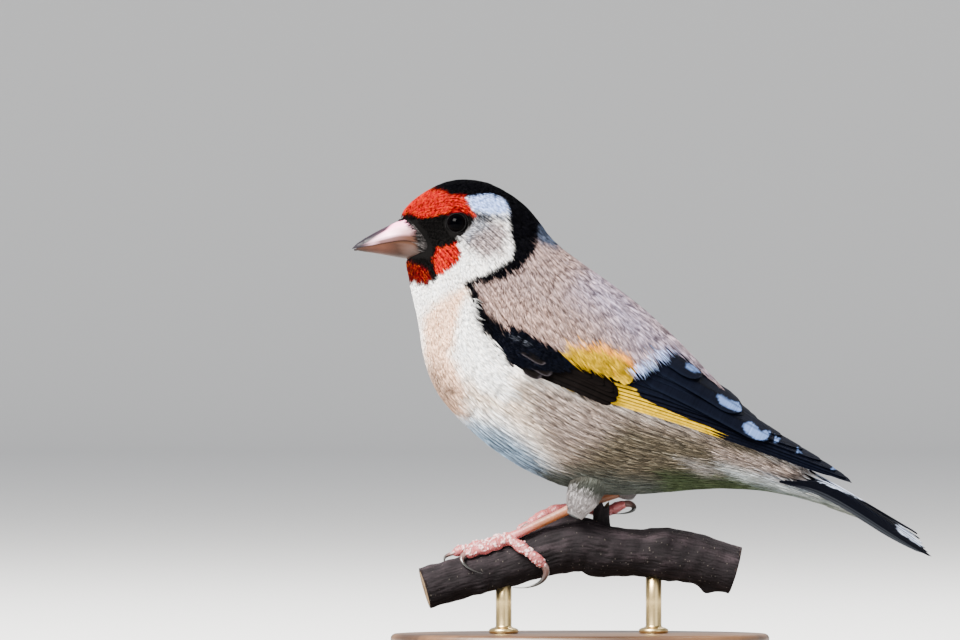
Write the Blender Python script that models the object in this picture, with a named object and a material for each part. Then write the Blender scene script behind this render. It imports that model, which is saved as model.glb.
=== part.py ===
"""European goldfinch, life size, gripping a short cut perch on a display stand.

+Z is up. The origin is the centre of the base's underside. The bird faces -X and its left side
faces -Y. Every size below is in millimetres, and MM turns it into the scene's metres.
"""

import math

import bmesh
import bpy
import numpy as np

MM = 0.001
GAP = 0.3  # clearance kept between pieces that touch
LEFT, RIGHT = -1, 1  # the sign of Y on each side of the bird

# Bird: lines across the body from the face to the tail coverts. Each gives the back point (x, z),
# the front or belly point (x, z), the half width, and how far the widest place sits to the back.
BODY_LINES = (
    (-34.3, 85.0, -33.6, 77.6, 1.5, 0.00),
    (-32.7, 87.3, -33.2, 76.0, 2.9, 0.00),
    (-30.4, 89.2, -32.6, 73.9, 4.5, 0.05),
    (-27.7, 90.8, -32.1, 71.4, 6.3, 0.10),
    (-24.7, 91.9, -31.6, 69.2, 7.7, 0.14),
    (-21.5, 92.2, -31.0, 66.7, 8.6, 0.15),
    (-17.7, 91.6, -30.4, 63.3, 9.2, 0.12),
    (-13.8, 89.7, -29.7, 58.7, 9.8, 0.06),
    (-10.2, 87.0, -28.3, 54.2, 10.8, 0.02),
    (-7.3, 83.5, -26.0, 50.2, 12.2, 0.00),
    (-4.2, 79.2, -22.3, 46.2, 13.6, 0.00),
    (0.4, 75.9, -17.7, 42.0, 14.8, 0.02),
    (6.0, 72.0, -11.5, 37.9, 15.3, 0.04),
    (12.4, 67.0, -4.0, 34.4, 14.8, 0.04),
    (18.2, 61.3, 4.8, 32.5, 13.2, 0.02),
    (24.2, 54.9, 14.3, 32.8, 11.0, 0.00),
    (30.5, 48.2, 23.8, 33.6, 8.6, 0.00),
    (37.4, 42.0, 33.2, 33.4, 6.3, 0.00),
    (44.2, 36.4, 41.6, 31.9, 4.5, 0.00),
    (50.0, 33.2, 48.2, 29.8, 3.4, 0.00),
)
BODY_SQUARENESS = 2.15  # 2 is an ellipse
# Swellings and hollows of the head: x, z, reach and height, on both sides
HEAD_FORMS = (
    (-18.2, 79.5, 5.0, 0.7),  # cheek
    (-23.6, 84.0, 2.6, -0.5),  # hollow round the eye
    (-24.6, 87.6, 2.8, 0.4),  # brow
    (-29.3, 82.4, 2.4, -0.4),  # hollow of the lores
    (-30.9, 79.4, 2.8, -1.8),  # where the bill sits
)
HEAD_CUT = ((-8.4, 82.4), (-31.4, 68.6))  # from the nape to the throat, x and z
NECK_CUT = ((-2.4, 77.8), (-29.8, 60.0))  # from the shoulders to the upper breast
TAIL_CUT = ((46.6, 36.0), (43.2, 30.0))  # across the tail coverts

# The closed wing's outer shell, by lines like those of the body
WING_LINES = (
    (-16.2, 86.4, -29.6, 56.0, 10.6, 0.0),
    (-8.0, 83.0, -25.6, 50.4, 13.0, 0.0),
    (0.4, 76.6, -17.7, 41.8, 15.7, 0.0),
    (6.0, 72.6, -11.5, 37.6, 16.6, 0.0),
    (12.4, 67.6, -4.0, 34.0, 16.5, 0.0),
    (19.0, 61.8, 4.8, 32.1, 15.2, 0.0),
    (25.0, 55.7, 14.3, 31.4, 13.0, 0.0),
    (31.4, 49.7, 23.8, 31.4, 10.4, 0.0),
    (38.0, 45.0, 33.2, 31.4, 8.0, 0.0),
    (44.7, 41.0, 41.8, 30.4, 5.7, 0.0),
    (51.3, 37.0, 49.4, 29.1, 3.8, 0.0),
    (57.0, 33.8, 56.0, 27.6, 2.6, 0.0),
)

# Bill: length, then sizes from the tip (0) to its hidden root (1)
BILL_TIP = (-43.3, 79.0)
BILL_ROOT_X = -27.6
# share of the length, culmen z, mouth line z, under edge z, half width
BILL_LINES = (
    (0.00, 79.20, 79.05, 78.90, 0.12),
    (0.06, 80.10, 79.30, 78.72, 0.60),
    (0.15, 81.05, 79.62, 78.50, 1.10),
    (0.30, 82.35, 80.12, 78.15, 1.82),
    (0.45, 83.50, 80.55, 77.72, 2.45),
    (0.60, 84.50, 80.85, 77.30, 2.95),
    (0.74, 85.35, 80.60, 76.95, 3.40),
    (0.87, 86.00, 79.60, 76.75, 3.75),
    (1.00, 86.40, 78.40, 76.60, 3.95),
)
BILL_LOWER_WIDTH = 0.94  # of the upper half's
BILL_FLOOR_WIDTH = 0.4  # share of the half width that is flat where the halves meet
BILL_LOWER_BACK, BILL_LOWER_DROP = 0.5, 0.16  # how far the lower tip stays behind and below
NOSTRIL = (-33.6, 3.05, 83.1, 0.55)  # x, distance from the middle, z and radius

# Eyes
EYE_AT = (-23.5, 84.0)
EYE_RADIUS = 2.5
EYE_SHOWN = 1.95  # radius of the part that the lids leave open
LID_THICKNESS = 0.34
LID_LIFT = 0.02  # of the lids' ring over the edge of what shows
LID_CLEAR = 0.55  # share of their thickness that the lids keep off the ball
EYE_LOOK = (-0.05, 0, 0)  # the eyes look a little forwards

# Perch: its middle line from the cut end by the front toes to the other, with its radius
PERCH_LINES = (
    (-29.5, -2.2, 14.6, 3.85),
    (-21.5, -1.5, 16.9, 3.95),
    (-13.4, -0.7, 19.0, 4.00),
    (-6.4, -0.2, 21.7, 4.75),
    (0.0, 0.0, 22.8, 5.05),
    (5.2, 0.3, 21.8, 4.75),
    (11.2, 0.8, 21.3, 4.35),
    (15.4, 1.1, 21.1, 4.95),
    (21.0, 1.6, 20.3, 4.80),
    (29.5, 2.2, 17.9, 4.55),
)
# Knots in the bark: x, turn from the top in degrees, reach and height
KNOTS = (
    (-3.5, -35.0, 3.6, 1.5),
    (3.8, 165.0, 1.8, 0.7),
    (15.6, 60.0, 1.5, 0.8),
    (16.0, -120.0, 1.6, 0.7),
    (25.6, 170.0, 1.3, 1.2),
    (-20.0, 140.0, 1.5, 0.5),
)
STUB = ((3.9, 1.2, 24.0), (4.2, 1.8, 30.3), 1.6)  # foot, top and radius of the broken side twig

# Stand
BASE_HALF_LENGTH = 36.0
BASE_HALF_WIDTH = 27.0
BASE_HEIGHT = 6.0
BASE_EDGE = 1.0
ROD_RADIUS = 1.5
ROD_PLACES = {"front": (-14.5, -0.8), "back": (14.0, 1.0)}

# Legs. Points are x, y, z
HEELS = {LEFT: (-0.9, -5.6, 30.2), RIGHT: (8.8, 7.7, 33.0)}
THIGH_TOPS = {LEFT: (3.2, -6.2, 38.5), RIGHT: (10.5, 6.6, 42.0)}
THIGH_ENDS = {LEFT: (-1.2, -5.5, 28.2), RIGHT: (8.6, 7.7, 31.6)}
THIGH_RADII = (3.8, 3.9, 3.9, 3.7, 3.3, 2.7, 1.7)
TARSUS_RADIUS = 0.84
TOE_RADIUS = 1.0
TOE_LIFT = 0.05  # over the bark
FRONT_CLAW_RADIUS = 0.52
HIND_CLAW_RADIUS = 0.66
FRONT_CLAW_LEAD, HIND_CLAW_LEAD = 0.9, 1.4  # how far a claw runs straight on from its toe
CLAW_TAPER = 0.82
STUMP_LENGTH = 1.6  # of the leg's lower end, which is fused with the foot
PAD_SWELL = 0.1
# The foot's middle and each toe on the perch: x, turn from the top in degrees, and lift
FOOT_PLACES = {LEFT: (-12.3, 24.0, 0.2), RIGHT: (-1.2, -14.0, 0.3)}
TOES = {  # at the middle and at the end
    LEFT: {
        "middle": ((-17.8, 6.0, 0.0), (-23.0, 3.0, 0.0)),
        "outer": ((-16.8, 28.0, 0.0), (-21.2, 32.0, 0.0)),
        "inner": ((-15.6, -14.0, 0.0), (-19.2, -44.0, 0.0)),
        "hind": ((-10.2, 70.0, 0.0), (-7.9, 116.0, 0.0)),
    },
    RIGHT: {
        "middle": ((-5.4, -20.0, 0.0), (-10.0, -18.0, 0.0)),
        "inner": ((-4.8, -4.0, 0.0), (-8.0, 4.0, 0.0)),
        "outer": ((-4.6, -44.0, 0.0), (-8.0, -62.0, 0.0)),
        "hind": ((3.4, -32.0, 2.4), (8.6, -24.0, 4.6)),
    },
}
CLAWS = {  # two places that the claw bends towards, the second being its tip
    LEFT: {
        "middle": ((-24.9, -22.0, 1.2), (-24.4, -46.0, 0.4)),
        "outer": ((-23.0, 64.0, 1.5), (-18.9, 92.0, 0.4)),
        "inner": ((-20.8, -72.0, 1.2), (-18.8, -94.0, 0.4)),
        "hind": ((-9.4, 154.0, 3.2), (-14.2, 150.0, 0.9)),
    },
    RIGHT: {
        "middle": ((-12.4, -24.0, 1.2), (-13.0, -46.0, 0.4)),
        "inner": ((-10.0, 10.0, 1.2), (-10.4, 26.0, 0.4)),
        "outer": ((-8.8, -90.0, 1.2), (-6.8, -110.0, 0.4)),
        "hind": ((12.2, -20.0, 3.4), (5.6, -24.0, 2.9)),
    },
}

# Wing feathers, row by row from the wing's leading edge inwards: how many, the root and the tip
# (x, z) of the first, some between and the last, the half width, the height of the first and the
# last over the wing's shell, and how far the roots are sunk below that
FEATHER_THICKNESS = 0.55
FEATHER_TILT = 0.13  # how far the outer edge stands over the middle, and the inner one under it
LONG_FEATHER = 18.0  # from this length a feather takes the finer outline
# Outlines: shares of the length and of the half width, from the root to the blunt tip
LONG_OUTLINE = ((0.0, 0.7), (0.3, 1.0), (0.65, 1.0), (0.88, 0.74), (1.0, 0.2))
SHORT_OUTLINE = ((0.0, 0.7), (0.45, 1.0), (0.82, 0.84), (1.0, 0.25))
WING_ROWS = {
    "primary": (
        6,
        ((-3.8, 51.8), (2.7, 53.4)),
        ((48.6, 37.3), (51.6, 36.4), (44.8, 40.3), (37.4, 43.2)),
        (1.2, 1.4), (-1.35, -0.35), 0.4,
    ),
    "secondary": (
        4,
        ((4.9, 54.1), (10.6, 56.8)),
        ((36.6, 42.2), (32.4, 44.8)),
        (1.7, 1.8), (-0.15, 0.2), 0.5,
    ),
    "tertial": (
        3,
        ((8.6, 56.6), (14.4, 61.0)),
        ((36.4, 42.9), (30.8, 48.3), (23.0, 54.9)),
        (2.2, 2.1), (0.37, 0.56), 0.9,
    ),
    "primary_covert": (
        3,
        ((-14.2, 59.4), (-11.4, 60.4)),
        ((7.0, 49.7), (4.4, 52.0)),
        (1.2, 1.3), (-0.5, -0.05), 0.4,
    ),
    "alula": (
        2,
        ((-15.6, 60.8), (-14.6, 62.2)),
        ((-5.1, 55.0), (-0.6, 53.2)),
        (1.2, 1.1), (0.1, 0.35), 0.5,
    ),
    "greater_covert": (
        6,
        ((-6.0, 59.4), (3.4, 62.2)),
        ((6.3, 52.7), (9.9, 53.1), (14.8, 55.7)),
        (1.6, 1.7), (0.25, 0.65), 0.8,
    ),
    "median_covert": (
        5,
        ((-14.6, 66.0), (-4.4, 68.0)),
        ((-6.6, 57.8), (5.6, 59.8)),
        (1.9, 2.0), (0.5, 0.7), 0.8,
    ),
}
# Upper and lower edges of the wing's arm, under the scapulars and coverts, from the wrist on
ARM_EDGES = (
    ((-18.4, 69.6), (-19.0, 66.6)),
    ((-13.6, 70.4), (-16.0, 60.2)),
    ((-7.0, 70.2), (-10.6, 55.6)),
    ((0.0, 68.6), (-4.0, 51.6)),
    ((6.0, 66.2), (4.0, 50.6)),
    ((12.0, 62.8), (10.4, 52.6)),
    ((17.0, 59.0), (16.4, 55.6)),
)
ARM_LIFTS = (0.1, -1.9)  # outer and inner face over the wing's shell
ARM_EDGE = 0.12  # share of the arm's rounding that its blunt edges leave out
ARM_END_FULLNESS = 0.35

# Tail feathers, from the middle pair to the outer one
TAIL_PAIRS = 6
TAIL_ROOTS = ((45.6, 0.5, 34.2), (45.2, 1.6, 33.0))
TAIL_TIPS = ((63.1, 1.3, 25.2), (64.9, 2.9, 23.4), (66.5, 4.2, 21.2))
TAIL_HALF_WIDTH = 1.9
TAIL_ROLLS = (6.0, 34.0)  # how far each vane hangs outwards, in degrees
TAIL_OUTLINE = ((0.0, 0.6), (0.45, 0.92), (0.87, 0.94), (1.0, 0.3))  # as for the wing feathers
TAIL_SKEW = 0.6  # how much further back the outer web ends than the inner one
TAIL_DROP = 0.14  # the right feathers lie this far under the left ones

# Colours and finish of each material: colour, roughness, metallic
FINISHES = {
    "brown_feather": ((0.42, 0.33, 0.26), 0.85, 0.0),
    "pale_feather": ((0.78, 0.74, 0.70), 0.85, 0.0),
    "red_feather": ((0.60, 0.05, 0.02), 0.75, 0.0),
    "black_feather": ((0.03, 0.03, 0.035), 0.55, 0.0),
    "bill_horn": ((0.78, 0.62, 0.54), 0.4, 0.0),
    "eye_brown": ((0.02, 0.013, 0.01), 0.05, 0.0),
    "leg_skin": ((0.66, 0.38, 0.30), 0.6, 0.0),
    "claw_horn": ((0.22, 0.15, 0.13), 0.4, 0.0),
    "bark": ((0.17, 0.11, 0.11), 0.9, 0.0),
    "base_wood": ((0.24, 0.14, 0.08), 0.5, 0.0),
    "rod_metal": ((0.55, 0.45, 0.30), 0.35, 1.0),
}


def clear_scene():
    for thing in list(bpy.data.objects):
        bpy.data.objects.remove(thing)


def finish_of(name):
    """The material of that name, made once."""
    made = bpy.data.materials.get(name)
    if made:
        return made
    colour, roughness, metallic = FINISHES[name]
    made = bpy.data.materials.new(name)
    made.use_nodes = True
    shader = made.node_tree.nodes["Principled BSDF"]
    shader.inputs["Base Color"].default_value = (*colour, 1.0)
    shader.inputs["Roughness"].default_value = roughness
    shader.inputs["Metallic"].default_value = metallic
    return made


def unit(v):
    v = np.asarray(v, float)
    return v / np.maximum(np.linalg.norm(v, axis=-1, keepdims=True), 1e-12)


def read_lines(table, at):
    """Rows of a table on one smooth curve; at counts its rows and may lie between them."""
    rows = np.asarray(table, float)
    at = np.clip(np.asarray(at, float), 0, len(rows) - 1)
    first = np.minimum(at.astype(int), len(rows) - 2)
    t = (at - first)[..., None]
    p1, p2 = rows[first], rows[first + 1]
    p0 = np.where((first > 0)[..., None], rows[np.maximum(first - 1, 0)], 2 * p1 - p2)
    last = (first + 2 > len(rows) - 1)[..., None]
    p3 = np.where(last, 2 * p2 - p1, rows[np.minimum(first + 2, len(rows) - 1)])
    slope_1, slope_2 = (p2 - p0) / 2, (p3 - p1) / 2
    return (
        (2 * t**3 - 3 * t**2 + 1) * p1
        + (t**3 - 2 * t**2 + t) * slope_1
        + (3 * t**2 - 2 * t**3) * p2
        + (t**3 - t**2) * slope_2
    )


class Shell:
    """A closed form drawn over lines that cross it: u counts the lines, v turns from the back."""

    def __init__(self, lines, forms=()):
        self.lines = lines
        self.forms = forms
        self.last = len(lines) - 1

    def smooth_point(self, u, v):
        row = read_lines(self.lines, u)
        top, low = row[..., 0:2], row[..., 2:4]
        c, s = np.cos(v), np.sin(v)
        power = 2 / BODY_SQUARENESS
        along = np.sign(c) * np.abs(c) ** power
        across = np.sign(s) * np.abs(s) ** power * (1 + row[..., 5] * c)
        flat = (top + low) / 2 + (top - low) / 2 * along[..., None]
        return np.stack([flat[..., 0], -row[..., 4] * across, flat[..., 1]], -1)

    def normal(self, u, v):
        step = 1e-3
        u0, u1 = np.clip(u - step, 0, self.last), np.clip(u + step, 0, self.last)
        du = self.smooth_point(u1, v) - self.smooth_point(u0, v)
        dv = self.smooth_point(u, v + step) - self.smooth_point(u, v - step)
        return unit(np.cross(dv, du))

    def point(self, u, v, lift=0.0):
        u, v = np.broadcast_arrays(np.asarray(u, float), np.asarray(v, float))
        found, normal = self.smooth_point(u, v), self.normal(u, v)
        height = np.zeros(u.shape) + lift
        for x, z, reach, rise in self.forms:
            away = (found[..., 0] - x) ** 2 + (found[..., 2] - z) ** 2
            height = height + rise * np.exp(-away / reach**2)
        return found + normal * height[..., None]

    def find(self, x, z):
        """The (u, v) of the left side where the shell seen from the side has this x and z."""
        u_low, u_high, v_low, v_high = 0.0, float(self.last), 0.02, math.pi - 0.02
        for _ in range(7):
            u, v = np.meshgrid(
                np.linspace(u_low, u_high, 25), np.linspace(v_low, v_high, 25), indexing="ij"
            )
            p = self.smooth_point(u, v)
            best = np.argmin((p[..., 0] - x) ** 2 + (p[..., 2] - z) ** 2)
            best_u, best_v = u.flat[best], v.flat[best]
            reach_u, reach_v = (u_high - u_low) / 8, (v_high - v_low) / 8
            u_low, u_high = max(0, best_u - reach_u), min(self.last, best_u + reach_u)
            v_low, v_high = max(0.02, best_v - reach_v), min(math.pi - 0.02, best_v + reach_v)
        return best_u, best_v


def new_object(name, points, faces, finish):
    """A mesh object from points in millimetres, with its faces turned outwards."""
    points = np.asarray(points, float)
    solid = sum(
        np.dot(points[f[0]], np.cross(points[f[i]], points[f[i + 1]]))
        for f in faces
        for i in range(1, len(f) - 1)
    )
    if solid < 0:
        faces = [f[::-1] for f in faces]
    mesh = bpy.data.meshes.new(name)
    mesh.from_pydata((points * MM).tolist(), [], [list(map(int, f)) for f in faces])
    mesh.materials.append(finish_of(finish))
    made = bpy.data.objects.new(name, mesh)
    bpy.context.scene.collection.objects.link(made)
    return made


def ring_solid(name, rings, finish, alike=False):
    """A closed solid over rings of equal count. With alike, the second half of each ring is split
    into triangles as the first half is, so that a thin piece's two faces can't cross."""
    rings = np.asarray(rings, float)
    count, around = rings.shape[:2]
    faces = []
    for i in range(count - 1):
        for k in range(around):
            a, b = i * around + k, i * around + (k + 1) % around
            c, d = b + around, a + around
            if alike and around // 2 <= k < around - 1:
                faces += [(a, b, d), (b, c, d)]
            else:
                faces += [(a, b, c), (a, c, d)]
    points = rings.reshape(-1, 3)
    if alike:
        half = around // 2
        for start in (0, (count - 1) * around):
            caps = []
            for k in range(half - 1):
                a, b = start + k, start + k + 1
                c, d = start + around - 2 - k, start + around - 1 - k
                caps += [(b, a, c), (a, d, c)]
            faces += caps if start == 0 else [f[::-1] for f in caps]
    else:
        points = np.concatenate([points, [rings[0].mean(0), rings[-1].mean(0)]])
        first, last = count * around, count * around + 1
        for k in range(around):
            faces.append((first, (k + 1) % around, k))
            end = (count - 1) * around
            faces.append((last, end + k, end + (k + 1) % around))
    return new_object(name, points, faces, finish)


def tube(name, path, radii, finish, around=8):
    """A round tube along a path of points, with flat ends."""
    path = np.asarray(path, float)
    along = unit(np.gradient(path, axis=0))
    side = np.cross(along[0], (0.0, 0.31, 1.0))
    rings = []
    for p, t, r in zip(path, along, np.broadcast_to(radii, len(path))):
        side = unit(side - t * np.dot(side, t))
        up = np.cross(t, side)
        turns = np.arange(around) * 2 * math.pi / around
        rings.append(p + r * (np.cos(turns)[:, None] * side + np.sin(turns)[:, None] * up))
    return ring_solid(name, rings, finish)


def settle(thing):
    """Applies what modifiers a piece has, and keeps only its largest closed surface."""
    graph = bpy.context.evaluated_depsgraph_get()
    mesh = bpy.data.meshes.new_from_object(thing.evaluated_get(graph))
    thing.modifiers.clear()
    thing.data = mesh
    work = bmesh.new()
    work.from_mesh(mesh)
    bmesh.ops.remove_doubles(work, verts=work.verts, dist=1e-7)
    bmesh.ops.triangulate(work, faces=work.faces)
    waiting, islands = set(work.verts), []
    while waiting:
        island, edge = set(), [waiting.pop()]
        while edge:
            vert = edge.pop()
            island.add(vert)
            for other in (e.other_vert(vert) for e in vert.link_edges):
                if other in waiting:
                    waiting.discard(other)
                    edge.append(other)
        islands.append(island)
    islands.sort(key=lambda found: abs(volume_of(found)))
    loose = [vert for island in islands[:-1] for vert in island]
    bmesh.ops.delete(work, geom=loose, context="VERTS")
    work.to_mesh(mesh)
    work.free()
    return thing


def volume_of(verts):
    faces = {face for vert in verts for face in vert.link_faces}
    return sum(f.verts[0].co.dot(f.verts[1].co.cross(f.verts[2].co)) for f in faces) / 6


def combine(thing, others, operation):
    """A union with others, or a cut by them; they are then removed."""
    group = bpy.data.collections.new("pieces")
    bpy.context.scene.collection.children.link(group)
    for other in others:
        bpy.context.scene.collection.objects.unlink(other)
        group.objects.link(other)
    modifier = thing.modifiers.new("join", "BOOLEAN")
    modifier.operand_type = "COLLECTION"
    modifier.collection = group
    modifier.operation = operation
    modifier.solver = "EXACT"
    bpy.context.view_layer.update()
    settle(thing)
    for other in others:
        bpy.data.objects.remove(other)
    bpy.data.collections.remove(group)
    return thing


def grown(thing, by=GAP):
    """A copy of a piece with its surface moved outwards, as a cutter."""
    copy = thing.copy()
    copy.data = thing.data.copy()
    bpy.context.scene.collection.objects.link(copy)
    normals = [vert.normal.copy() for vert in copy.data.vertices]
    for vert, normal in zip(copy.data.vertices, normals):
        vert.co += normal * by * MM
    return copy


def slice_off(thing, line, keep_back, gap=0.0):
    """Keeps what lies on one side of a plane through a side-view line, and closes the cut."""
    (x0, z0), (x1, z1) = line
    normal = unit((z0 - z1, 0.0, x1 - x0))
    if normal[0] < 0:
        normal = -normal
    point = np.array((x0, 0.0, z0)) + normal * (gap / 2 if keep_back else -gap / 2)
    work = bmesh.new()
    work.from_mesh(thing.data)
    bmesh.ops.bisect_plane(
        work,
        geom=[*work.verts, *work.edges, *work.faces],
        plane_co=point * MM,
        plane_no=normal,
        clear_inner=keep_back,
        clear_outer=not keep_back,
    )
    bmesh.ops.holes_fill(work, edges=[e for e in work.edges if e.is_boundary])
    bmesh.ops.triangulate(work, faces=work.faces)
    bmesh.ops.recalc_face_normals(work, faces=work.faces)
    work.to_mesh(thing.data)
    work.free()
    return thing


def copy_of(thing, name, finish):
    copy = thing.copy()
    copy.data = thing.data.copy()
    copy.name = name
    copy.data.materials.clear()
    copy.data.materials.append(finish_of(finish))
    bpy.context.scene.collection.objects.link(copy)
    return copy


def mirrored(thing, name):
    """The right side's piece from the left side's."""
    copy = thing.copy()
    copy.data = thing.data.copy()
    copy.name = name
    for vert in copy.data.vertices:
        vert.co.y = -vert.co.y
    copy.data.flip_normals()
    bpy.context.scene.collection.objects.link(copy)
    return copy


BODY = Shell(BODY_LINES, HEAD_FORMS)
WING = Shell(WING_LINES)


def body_whole():
    """Head, neck and torso as one form, before they are parted."""
    steps, around = 44, 26
    turns = np.arange(around) * 2 * math.pi / around
    rings = [BODY.point(u, turns) for u in np.linspace(0, BODY.last, steps)]
    return ring_solid("body_whole", rings, "brown_feather")


def eye_centre(side):
    u, v = BODY.find(*EYE_AT)
    surface, outward = BODY.point(u, v), unit(BODY.normal(u, v) + EYE_LOOK)
    depth = math.sqrt(EYE_RADIUS**2 - EYE_SHOWN**2)
    flip = np.array((1, 1, 1)) if side == LEFT else np.array((1, -1, 1))
    return (surface - outward * depth) * flip, outward * flip, depth


def ball(name, centre, radius, finish, rows=8, around=12, pole=(0, 1, 0)):
    """A round ball with its poles along a direction."""
    centre, pole = np.asarray(centre, float), unit(pole)
    angles = np.linspace(0.12, math.pi - 0.12, rows)
    path = [centre + pole * radius * -math.cos(a) for a in angles]
    return tube(name, path, [radius * math.sin(a) for a in angles], finish, around)


def lid(side):
    """The ring of lids round an eye, sunk into the head."""
    centre, outward, depth = eye_centre(side)
    middle = centre + outward * (depth + LID_LIFT)
    ring_radius = math.sqrt((EYE_RADIUS + GAP) ** 2 - depth**2) + LID_THICKNESS * LID_CLEAR
    first = unit(np.cross(outward, (0, 0, 1)))
    second = np.cross(outward, first)
    count, around = 18, 6
    points, faces = [], []
    for i in range(count):
        a = 2 * math.pi * i / count
        spoke = math.cos(a) * first + math.sin(a) * second
        for k in range(around):
            b = 2 * math.pi * k / around
            rise = outward * math.sin(b) + spoke * math.cos(b)
            points.append(middle + spoke * ring_radius + rise * LID_THICKNESS)
            here, there = i * around, (i + 1) % count * around
            faces.append((here + k, here + (k + 1) % around, there + (k + 1) % around, there + k))
    return new_object("lid", points, faces, "black_feather")


def make_head(whole):
    head = slice_off(copy_of(whole, "head", "red_feather"), HEAD_CUT, keep_back=False, gap=GAP)
    combine(head, [lid(LEFT), lid(RIGHT)], "UNION")
    sockets = [
        ball("socket", eye_centre(side)[0], EYE_RADIUS + GAP, "black_feather")
        for side in (LEFT, RIGHT)
    ]
    return combine(head, sockets, "DIFFERENCE")


def make_neck(whole):
    neck = slice_off(copy_of(whole, "neck", "pale_feather"), HEAD_CUT, keep_back=True, gap=GAP)
    return slice_off(neck, NECK_CUT, keep_back=False, gap=GAP)


def make_torso(whole):
    torso = slice_off(copy_of(whole, "torso", "brown_feather"), NECK_CUT, keep_back=True, gap=GAP)
    return slice_off(torso, TAIL_CUT, keep_back=False, gap=GAP)


def make_eyes():
    for side, name in ((LEFT, "eye_left"), (RIGHT, "eye_right")):
        centre, outward, _ = eye_centre(side)
        ball(name, centre, EYE_RADIUS, "eye_brown", rows=9, around=14, pole=outward)


def bill_rings(upper):
    """Cross sections of one half of the bill, from the tip to the hidden root."""
    rings = []
    for share in np.linspace(0, 1, 14) ** 1.2:
        at = np.interp(share, [row[0] for row in BILL_LINES], range(len(BILL_LINES)))
        _, culmen, mouth, under, half = read_lines(BILL_LINES, at)
        x = BILL_TIP[0] + share * (BILL_ROOT_X - BILL_TIP[0])
        ring = []
        for k in range(9):
            turn = math.pi * k / 8
            y = -half * math.cos(turn) * (1.0 if upper else BILL_LOWER_WIDTH)
            bend = math.sin(turn) ** 0.8
            if upper:
                edge = mouth + GAP / 2 * min(1, share * 6)
                ring.append((x, y, edge + max(culmen - edge, 0.06) * bend))
            else:
                edge = mouth - GAP / 2 * min(1, share * 6)
                ring.append((x, y, edge - max(edge - under, 0.06) * bend))
        floor = ring[0][2] + (0.02 if upper else -0.02)
        ring.append((x, half * BILL_FLOOR_WIDTH, floor))
        ring.append((x, -half * BILL_FLOOR_WIDTH, floor))
        rings.append(ring)
    return rings


def make_bill(head_cutter):
    upper = ring_solid("bill_upper", bill_rings(True), "bill_horn")
    x, away, z, radius = NOSTRIL
    nostrils = [
        ball("nostril", (x, side * away, z), radius, "bill_horn", rows=5, around=8)
        for side in (LEFT, RIGHT)
    ]
    combine(upper, [copy_of(head_cutter, "cutter", "bill_horn"), *nostrils], "DIFFERENCE")
    lower = ring_solid("bill_lower", bill_rings(False), "bill_horn")
    # the lower half's tip stays clear of the upper half's
    tip_x = (BILL_TIP[0] + BILL_LOWER_BACK) * MM
    for vert in lower.data.vertices:
        if vert.co.x < tip_x:
            vert.co.x = tip_x
            vert.co.z -= BILL_LOWER_DROP * MM
    combine(lower, [copy_of(head_cutter, "cutter", "bill_horn")], "DIFFERENCE")


def arm_of_wing():
    """The wing's arm as a smooth blade on the wing's shell, which the feathers grow from."""
    outer_lift, inner_lift = ARM_LIFTS
    rings = []
    for i, ((x0, z0), (x1, z1)) in enumerate(ARM_EDGES):
        fullness = ARM_END_FULLNESS if i in (0, len(ARM_EDGES) - 1) else 1.0
        outer, inner = [], []
        for share in np.linspace(0, 1, 6):
            rounding = ARM_EDGE + (1 - 2 * ARM_EDGE) * share
            swell = fullness * math.sin(math.pi * rounding)
            u, v = WING.find(x0 + (x1 - x0) * share, z0 + (z1 - z0) * share)
            middle = (outer_lift + inner_lift) / 2
            half = (outer_lift - inner_lift) / 2 * swell
            outer.append(WING.point(u, v, middle + half))
            inner.append(WING.point(u, v, middle - half))
        rings.append(outer + inner[::-1])
    return ring_solid("arm", rings, "black_feather", alike=True)


def wing_vane(name, root, tip, half_width, lift, sink):
    """A feather on the wing's shell: the edge towards the back is tucked under the next one."""
    outline = LONG_OUTLINE if np.hypot(*np.subtract(tip, root)) > LONG_FEATHER else SHORT_OUTLINE
    root, tip = np.array(root), np.array(tip)
    ahead = unit(tip - root)
    upwards = np.array((-ahead[1], ahead[0]))
    rings = []
    for t, width in outline:
        middle = root + (tip - root) * t
        height = lift - sink * (1 - t) ** 2
        thickness = FEATHER_THICKNESS * (1 - 0.45 * t**4)
        outer, inner = [], []
        for edge in (-1, 1):
            u, v = WING.find(*(middle + upwards * edge * width * half_width))
            outer.append(WING.point(u, v, height - FEATHER_TILT * edge))
            inner.append(WING.point(u, v, height - FEATHER_TILT * edge - thickness))
        rings.append(outer + inner[::-1])
    return ring_solid(name, rings, "black_feather", alike=True)


def make_wings(body_cutter):
    wing = arm_of_wing()
    wing.name = "wing_left"
    feathers = []
    for row, (count, roots, tips, widths, lifts, sink) in WING_ROWS.items():
        for i, share in enumerate(np.linspace(0, 1, count)):
            root = read_lines(roots, share * (len(roots) - 1))
            tip = read_lines(tips, share * (len(tips) - 1))
            width = np.interp(share, (0, 1), widths)
            lift = np.interp(share, (0, 1), lifts)
            feathers.append(wing_vane(f"{row}_{i}", root, tip, width, lift, sink))
    combine(wing, feathers, "UNION")
    combine(wing, [copy_of(body_cutter, "cutter", "black_feather")], "DIFFERENCE")
    mirrored(wing, "wing_right")


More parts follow.
